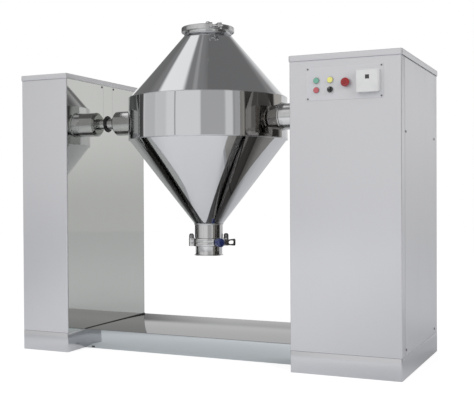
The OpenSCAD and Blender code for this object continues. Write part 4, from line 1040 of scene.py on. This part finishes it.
class MIXER_OT_timer(bpy.types.Operator):
    """Shapes the timer's square case with a raised rim, its dark window and a bare field below it"""

    bl_idname = "mixer.timer"
    bl_label = "Timer"

    def execute(self, context):
        lo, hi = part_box("timer_case")
        plate, face = plate_face(), lo.y
        rim, bevel, inside, step, reach = 0.0022, 0.0015, 0.0055, 0.0012, 0.03
        sunk, deep = 0.0003, 0.002
        path = bent_line(rectangle(lo.x, lo.z, hi.x, hi.z), 0.006, True, 8)
        shell = outline([(-reach, plate), (0, plate), (0, face), (-rim, face),
                         (-rim - bevel, face + step), (-inside, face + step)],
                        [0, FINE, 0.003, 0.0006, CRISP, 0])
        shell[:, 0] = np.maximum(shell[:, 0], -inside)
        solid("timer_shell", carried(shell, path, "xzy"), body="stand", replaces=["timer_case"],
              slot="timer_plastic")
        lo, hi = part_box("timer_window")
        path = bent_line(rectangle(lo.x, lo.z, hi.x, hi.z), EASED, True, 4)
        solid("timer_glass", slab(path, face + sunk, face + deep, 0.0004, "xzy"), body="stand",
              replaces=["timer_window"], slot="window_plastic")
        return {"FINISHED"}


class MIXER_OT_frame(bpy.types.Operator):
    """Gives the frame's own pieces, inside and outside, the finishes of the slots in the record"""

    bl_idname = "mixer.frame"
    bl_label = "Frame finishes"

    def execute(self, context):
        slots = {part["node"]: part["material_slot"] for part in frame["record"]["subparts"]}
        for node in frame["nodes"].values():
            for entry in node.material_slots:
                entry.material = finish(slots[node.name])
        return {"FINISHED"}


# ---------------------------------------------------------------- studio


# Each panel of the surround: name, azimuth from the front and elevation, half width and half height,
# softness of its upright and of its level edges, all in degrees, and brightness.
PANELS = (
    ("ceiling left", -80.0, 66.0, 95.0, 22.0, 25.0, 4.0, 0.27),
    ("front wall", -29.5, 8.0, 46.5, 42.0, 2.0, 5.0, 0.87),
    ("front left wall", -43.0, 8.0, 9.0, 42.0, 3.0, 5.0, 0.74),
    ("front far left", -63.0, 8.0, 11.0, 42.0, 2.5, 5.0, 0.64),
    ("door frame", -20.5, 8.0, 0.9, 42.0, 0.6, 5.0, 0.42),
    ("front right wall", 33.0, 8.0, 17.0, 42.0, 2.5, 5.0, 0.50),
    ("front right window", 55.0, 8.0, 6.0, 38.0, 2.0, 5.0, 0.76),
    ("right wall", 69.0, 8.0, 8.0, 30.0, 3.0, 5.0, 0.45),
    ("left far wall", -97.0, 10.0, 6.0, 20.0, 3.0, 6.0, 0.24),
    ("back wall", 172.0, 8.0, 38.0, 26.0, 6.0, 10.0, 0.80),
    ("back white sheet", -155.0, 12.0, 20.0, 9.5, 3.0, 1.5, 1.12),
    ("back alcove", 163.0, 26.0, 8.0, 13.0, 4.0, 5.0, 0.27),
    ("back doorway", 141.0, 4.0, 11.0, 8.0, 6.0, 4.0, 0.86),
    ("back wall foot", 152.0, -12.0, 26.0, 13.0, 5.0, 4.0, 0.64),
    ("overhead softbox", -92.0, 62.0, 26.0, 10.0, 2.0, 2.0, 1.08),
    ("overhead strip", -60.0, 80.0, 60.0, 1.6, 8.0, 0.8, 0.40),
)
# brightness of the room low down and of its ceiling, and the elevation and softness of their edge
ROOM, CEILING = 0.075, 0.195
CEILING_FROM, CEILING_SOFT = 16.0, 8.0
SHELL_RADIUS, SHELL_CENTRE = 14.0, 1.2
FLOOR_RINGS = np.array([0.0, 1.0, 2.0, 4.0, 8.0, 13.0])
FLOOR_STEPS, FLOOR_HEIGHT = 64, -0.0004
# the floor's tones in the steel: before the mixer, far to its left and right, and a painted shade under
# and past the bridge's back
PALE, PALE_LEFT, PALE_RIGHT = (0.82, 0.83, 0.85), (0.44, 0.45, 0.47), (0.58, 0.59, 0.61)
SHADE_BEHIND = (0.32, 0.32, 0.32)
# the tone that the camera sees under the floor's glow, which sets how deep the shadow is
SEEN_TONE = (0.34, 0.34, 0.34)
# the floor's glow for the camera, in the steel, and what is added to that before the mixer
SEEN_GLOW, MIRRORED_GLOW, FRONT_GLOW = 0.80, 0.08, 0.12
WORLD_LEVEL = 0.62
WHITE = (1.0, 1.0, 1.0, 1.0)
# name, place, aim, size and power of each lamp
LAMPS = (("key", (-1.5, -4.5, 4.2), (0, 0, 0.7), 3.0, 80.0),
         ("fill", (4.5, -3.0, 3.2), (0, 0, 0.7), 3.0, 85.0))
CAMERA_AT = (1.9696, -4.0138, 0.8301)
# yaw, downward pitch and roll, in degrees
CAMERA_TURN = (24.2151, 0.6577, -0.2653)
# focal length and sensor width in millimetres, and how far the camera sees
LENS, SENSOR, SIGHT = 64.0, 36.0, 60.0


def staged(name, grid, faces):
    """An object of the studio from a grid of points, and the node tree of its own material."""
    mesh = bpy.data.meshes.new(name)
    mesh.from_pydata(grid.reshape(-1, 3), [], faces.tolist())
    thing = bpy.data.objects.new(name, mesh)
    bpy.context.scene.collection.objects.link(thing)
    material = bpy.data.materials.new(name)
    material.cycles.emission_sampling = "NONE"
    mesh.materials.append(material)
    return thing, Tree(material)


def facing(columns, place):
    """The matrix of a thing at a place, its axes given as columns."""
    return Matrix.Translation(place) @ Matrix(np.stack(columns, 1).tolist()).to_4x4()


class MIXER_OT_studio(bpy.types.Operator):
    """Sets up the floor, the surround that polished steel reflects, the lamps and the camera"""

    bl_idname = "mixer.studio"
    bl_label = "Studio"

    def execute(self, context):
        self.surround()
        self.floor()
        self.lamps(context.scene)
        self.camera(context.scene)
        return {"FINISHED"}

    def surround(self):
        """A large round shell about the mixer: point = centre + R * (cos e sin a, -cos e cos a, sin e).
        Its glow is a dark room with a lighter ceiling and a few soft panels."""
        a = np.radians(np.linspace(-180, 180, 721))
        e = np.radians(np.linspace(-89.9, 89.9, 241))
        a, e = np.meshgrid(a, e, indexing="ij")
        grid = np.stack([np.cos(e) * np.sin(a), -np.cos(e) * np.cos(a), np.sin(e)], -1) * SHELL_RADIUS
        grid[..., 2] += SHELL_CENTRE
        azimuth, elevation = np.degrees(a), np.degrees(e)

        def edge(distance, half, soft):
            """1 inside half, 0 outside, smooth over soft to both sides."""
            x = np.clip((half + soft - distance) / (2 * soft), 0, 1)
            return x * x * (3 - 2 * x)

        glow = ROOM + (CEILING - ROOM) * edge(-elevation, -CEILING_FROM, CEILING_SOFT)
        for _, az, el, wide, tall, soft_az, soft_el, bright in PANELS:
            off = np.abs((azimuth - az + 180) % 360 - 180)
            inside = edge(off, wide, soft_az) * edge(np.abs(elevation - el), tall, soft_el)
            glow = glow * (1 - inside) + bright * inside
        shell, t = staged("studio_surround", grid, quads(np.arange(a.size).reshape(a.shape).T))
        values = shell.data.attributes.new("glow", "FLOAT", "POINT")
        values.data.foreach_set("value", glow.reshape(-1).astype(np.float32))
        shell.data.shade_smooth()
        level = t.add("ShaderNodeAttribute", {"attribute_name": "glow"}, out="Fac")
        shine = t.add("ShaderNodeEmission", inputs={"Color": WHITE, "Strength": level})
        t.add("ShaderNodeOutputMaterial", inputs={"Surface": shine})
        shell.visible_camera = shell.visible_diffuse = shell.visible_shadow = False

    def floor(self):
        """A pale floor: a wide disc, point = (r cos t, r sin t, height). For the camera it glows up to
        white and keeps the shadow. Its tone goes over into others where x and y pass these bounds."""
        t = angles(FLOOR_STEPS)[:, None]
        grid = np.stack([FLOOR_RINGS * np.cos(t), FLOOR_RINGS * np.sin(t),
                         np.full((FLOOR_STEPS, len(FLOOR_RINGS)), FLOOR_HEIGHT)], -1)
        i = np.arange(FLOOR_STEPS * len(FLOOR_RINGS)).reshape(FLOOR_STEPS, -1)
        _, s = staged("studio_floor", grid, quads(np.concatenate([i, i[:1]], 0)))
        seen = s.add("ShaderNodeLightPath", out="Is Camera Ray")
        mirrored = s.add("ShaderNodeLightPath", out="Is Glossy Ray")
        at = s.add("ShaderNodeTexCoord", out="Object")
        x, y = (s.add("ShaderNodeSeparateXYZ", inputs={0: at}, out=axis) for axis in "XY")
        front = (-y).rise(-0.1, 0.3)
        # painted shade on the floor under the bridge's back and beside the machine, short of the drive
        # cabinet
        shade_behind = y.rise(-0.1, 0.2) * (1.0 - y.rise(0.45, 0.95)) * (1.0 - x.rise(0.9, 1.2))
        tone = s.mix((-x).rise(0.6, 2.2), PALE, PALE_LEFT)
        tone = s.mix(x.rise(0.4, 1.4) * (1.0 - y.rise(0.8, 1.6)), tone, PALE_RIGHT)
        tone = s.mix(shade_behind, tone, SHADE_BEHIND)
        matt = s.add("ShaderNodeBsdfDiffuse", inputs={"Color": s.mix(seen, tone, SEEN_TONE)})
        level = seen * SEEN_GLOW + mirrored * (MIRRORED_GLOW + front * FRONT_GLOW)
        glow = s.add("ShaderNodeEmission", inputs={"Color": WHITE, "Strength": level})
        both = s.add("ShaderNodeAddShader", inputs={0: matt, 1: glow})
        s.add("ShaderNodeOutputMaterial", inputs={"Surface": both})

    def lamps(self, scene):
        """The world, white for the camera and dimmer for the object, and two large soft lamps."""
        scene.world = bpy.data.worlds.new("studio")
        w = Tree(scene.world)
        seen = w.add("ShaderNodeLightPath", out="Is Camera Ray")
        back = w.add("ShaderNodeBackground", inputs={
            "Color": WHITE, "Strength": WORLD_LEVEL + seen * (1.0 - WORLD_LEVEL)})
        w.add("ShaderNodeOutputWorld", inputs={"Surface": back})
        for name, place, aim, size, power in LAMPS:
            lamp = bpy.data.lights.new(name, "AREA")
            lamp.shape, lamp.size, lamp.energy = "DISK", size, power
            holder = bpy.data.objects.new(name, lamp)
            holder.visible_glossy = False
            scene.collection.objects.link(holder)
            holder.matrix_world = facing(basis(np.array(place) - np.array(aim)), place)

    def camera(self, scene):
        """Looks along (-sin yaw cos pitch, cos yaw cos pitch, -sin pitch), rolled about that."""
        yaw, pitch, roll = (math.radians(x) for x in CAMERA_TURN)
        ahead = np.array([-math.sin(yaw) * math.cos(pitch), math.cos(yaw) * math.cos(pitch),
                          -math.sin(pitch)])
        right = np.array([math.cos(yaw), math.sin(yaw), 0])
        up = np.cross(right, ahead)
        across = right * math.cos(roll) + up * math.sin(roll)
        above = -right * math.sin(roll) + up * math.cos(roll)
        lens = bpy.data.cameras.new("camera")
        lens.lens, lens.sensor_width, lens.sensor_fit = LENS, SENSOR, "HORIZONTAL"
        lens.clip_end = SIGHT
        camera = bpy.data.objects.new("camera", lens)
        scene.collection.objects.link(camera)
        camera.matrix_world = facing((across, above, -ahead), CAMERA_AT)
        scene.camera = camera
        scene.view_settings.view_transform = "Standard"


# ---------------------------------------------------------------- add-on


PIECES = (
    MIXER_OT_frame, MIXER_OT_left_cabinet, MIXER_OT_right_cabinet, MIXER_OT_lids, MIXER_OT_plinths,
    MIXER_OT_shaft_seals, MIXER_OT_screws, MIXER_OT_vessel, MIXER_OT_trunnions, MIXER_OT_manhole,
    MIXER_OT_valve, MIXER_OT_buttons, MIXER_OT_knobs, MIXER_OT_timer, MIXER_OT_studio,
)


class MIXER_PT_sidebar(bpy.types.Panel):
    """Lists the pieces, and the sizes and colours that they are made with"""

    bl_idname = "MIXER_PT_sidebar"
    bl_label = "Double Cone Mixer"
    bl_space_type = "VIEW_3D"
    bl_region_type = "UI"
    bl_category = "Mixer"

    def draw(self, context):
        for piece in PIECES:
            self.layout.operator(piece.bl_idname)
        for group in (context.scene.mixer_sizes, context.scene.mixer_colours):
            for name in group.__annotations__:
                self.layout.prop(group, name)


CLASSES = (MixerSizes, MixerColours, *PIECES, MIXER_PT_sidebar)


def register():
    for c in CLASSES:
        bpy.utils.register_class(c)
    bpy.types.Scene.mixer_sizes = PointerProperty(type=MixerSizes)
    bpy.types.Scene.mixer_colours = PointerProperty(type=MixerColours)


def unregister():
    del bpy.types.Scene.mixer_colours, bpy.types.Scene.mixer_sizes
    for c in reversed(CLASSES):
        bpy.utils.unregister_class(c)


def main():
    register()
    for piece in PIECES:
        group, name = piece.bl_idname.split(".")
        getattr(getattr(bpy.ops, group), name)()


if __name__ == "__main__":
    main()
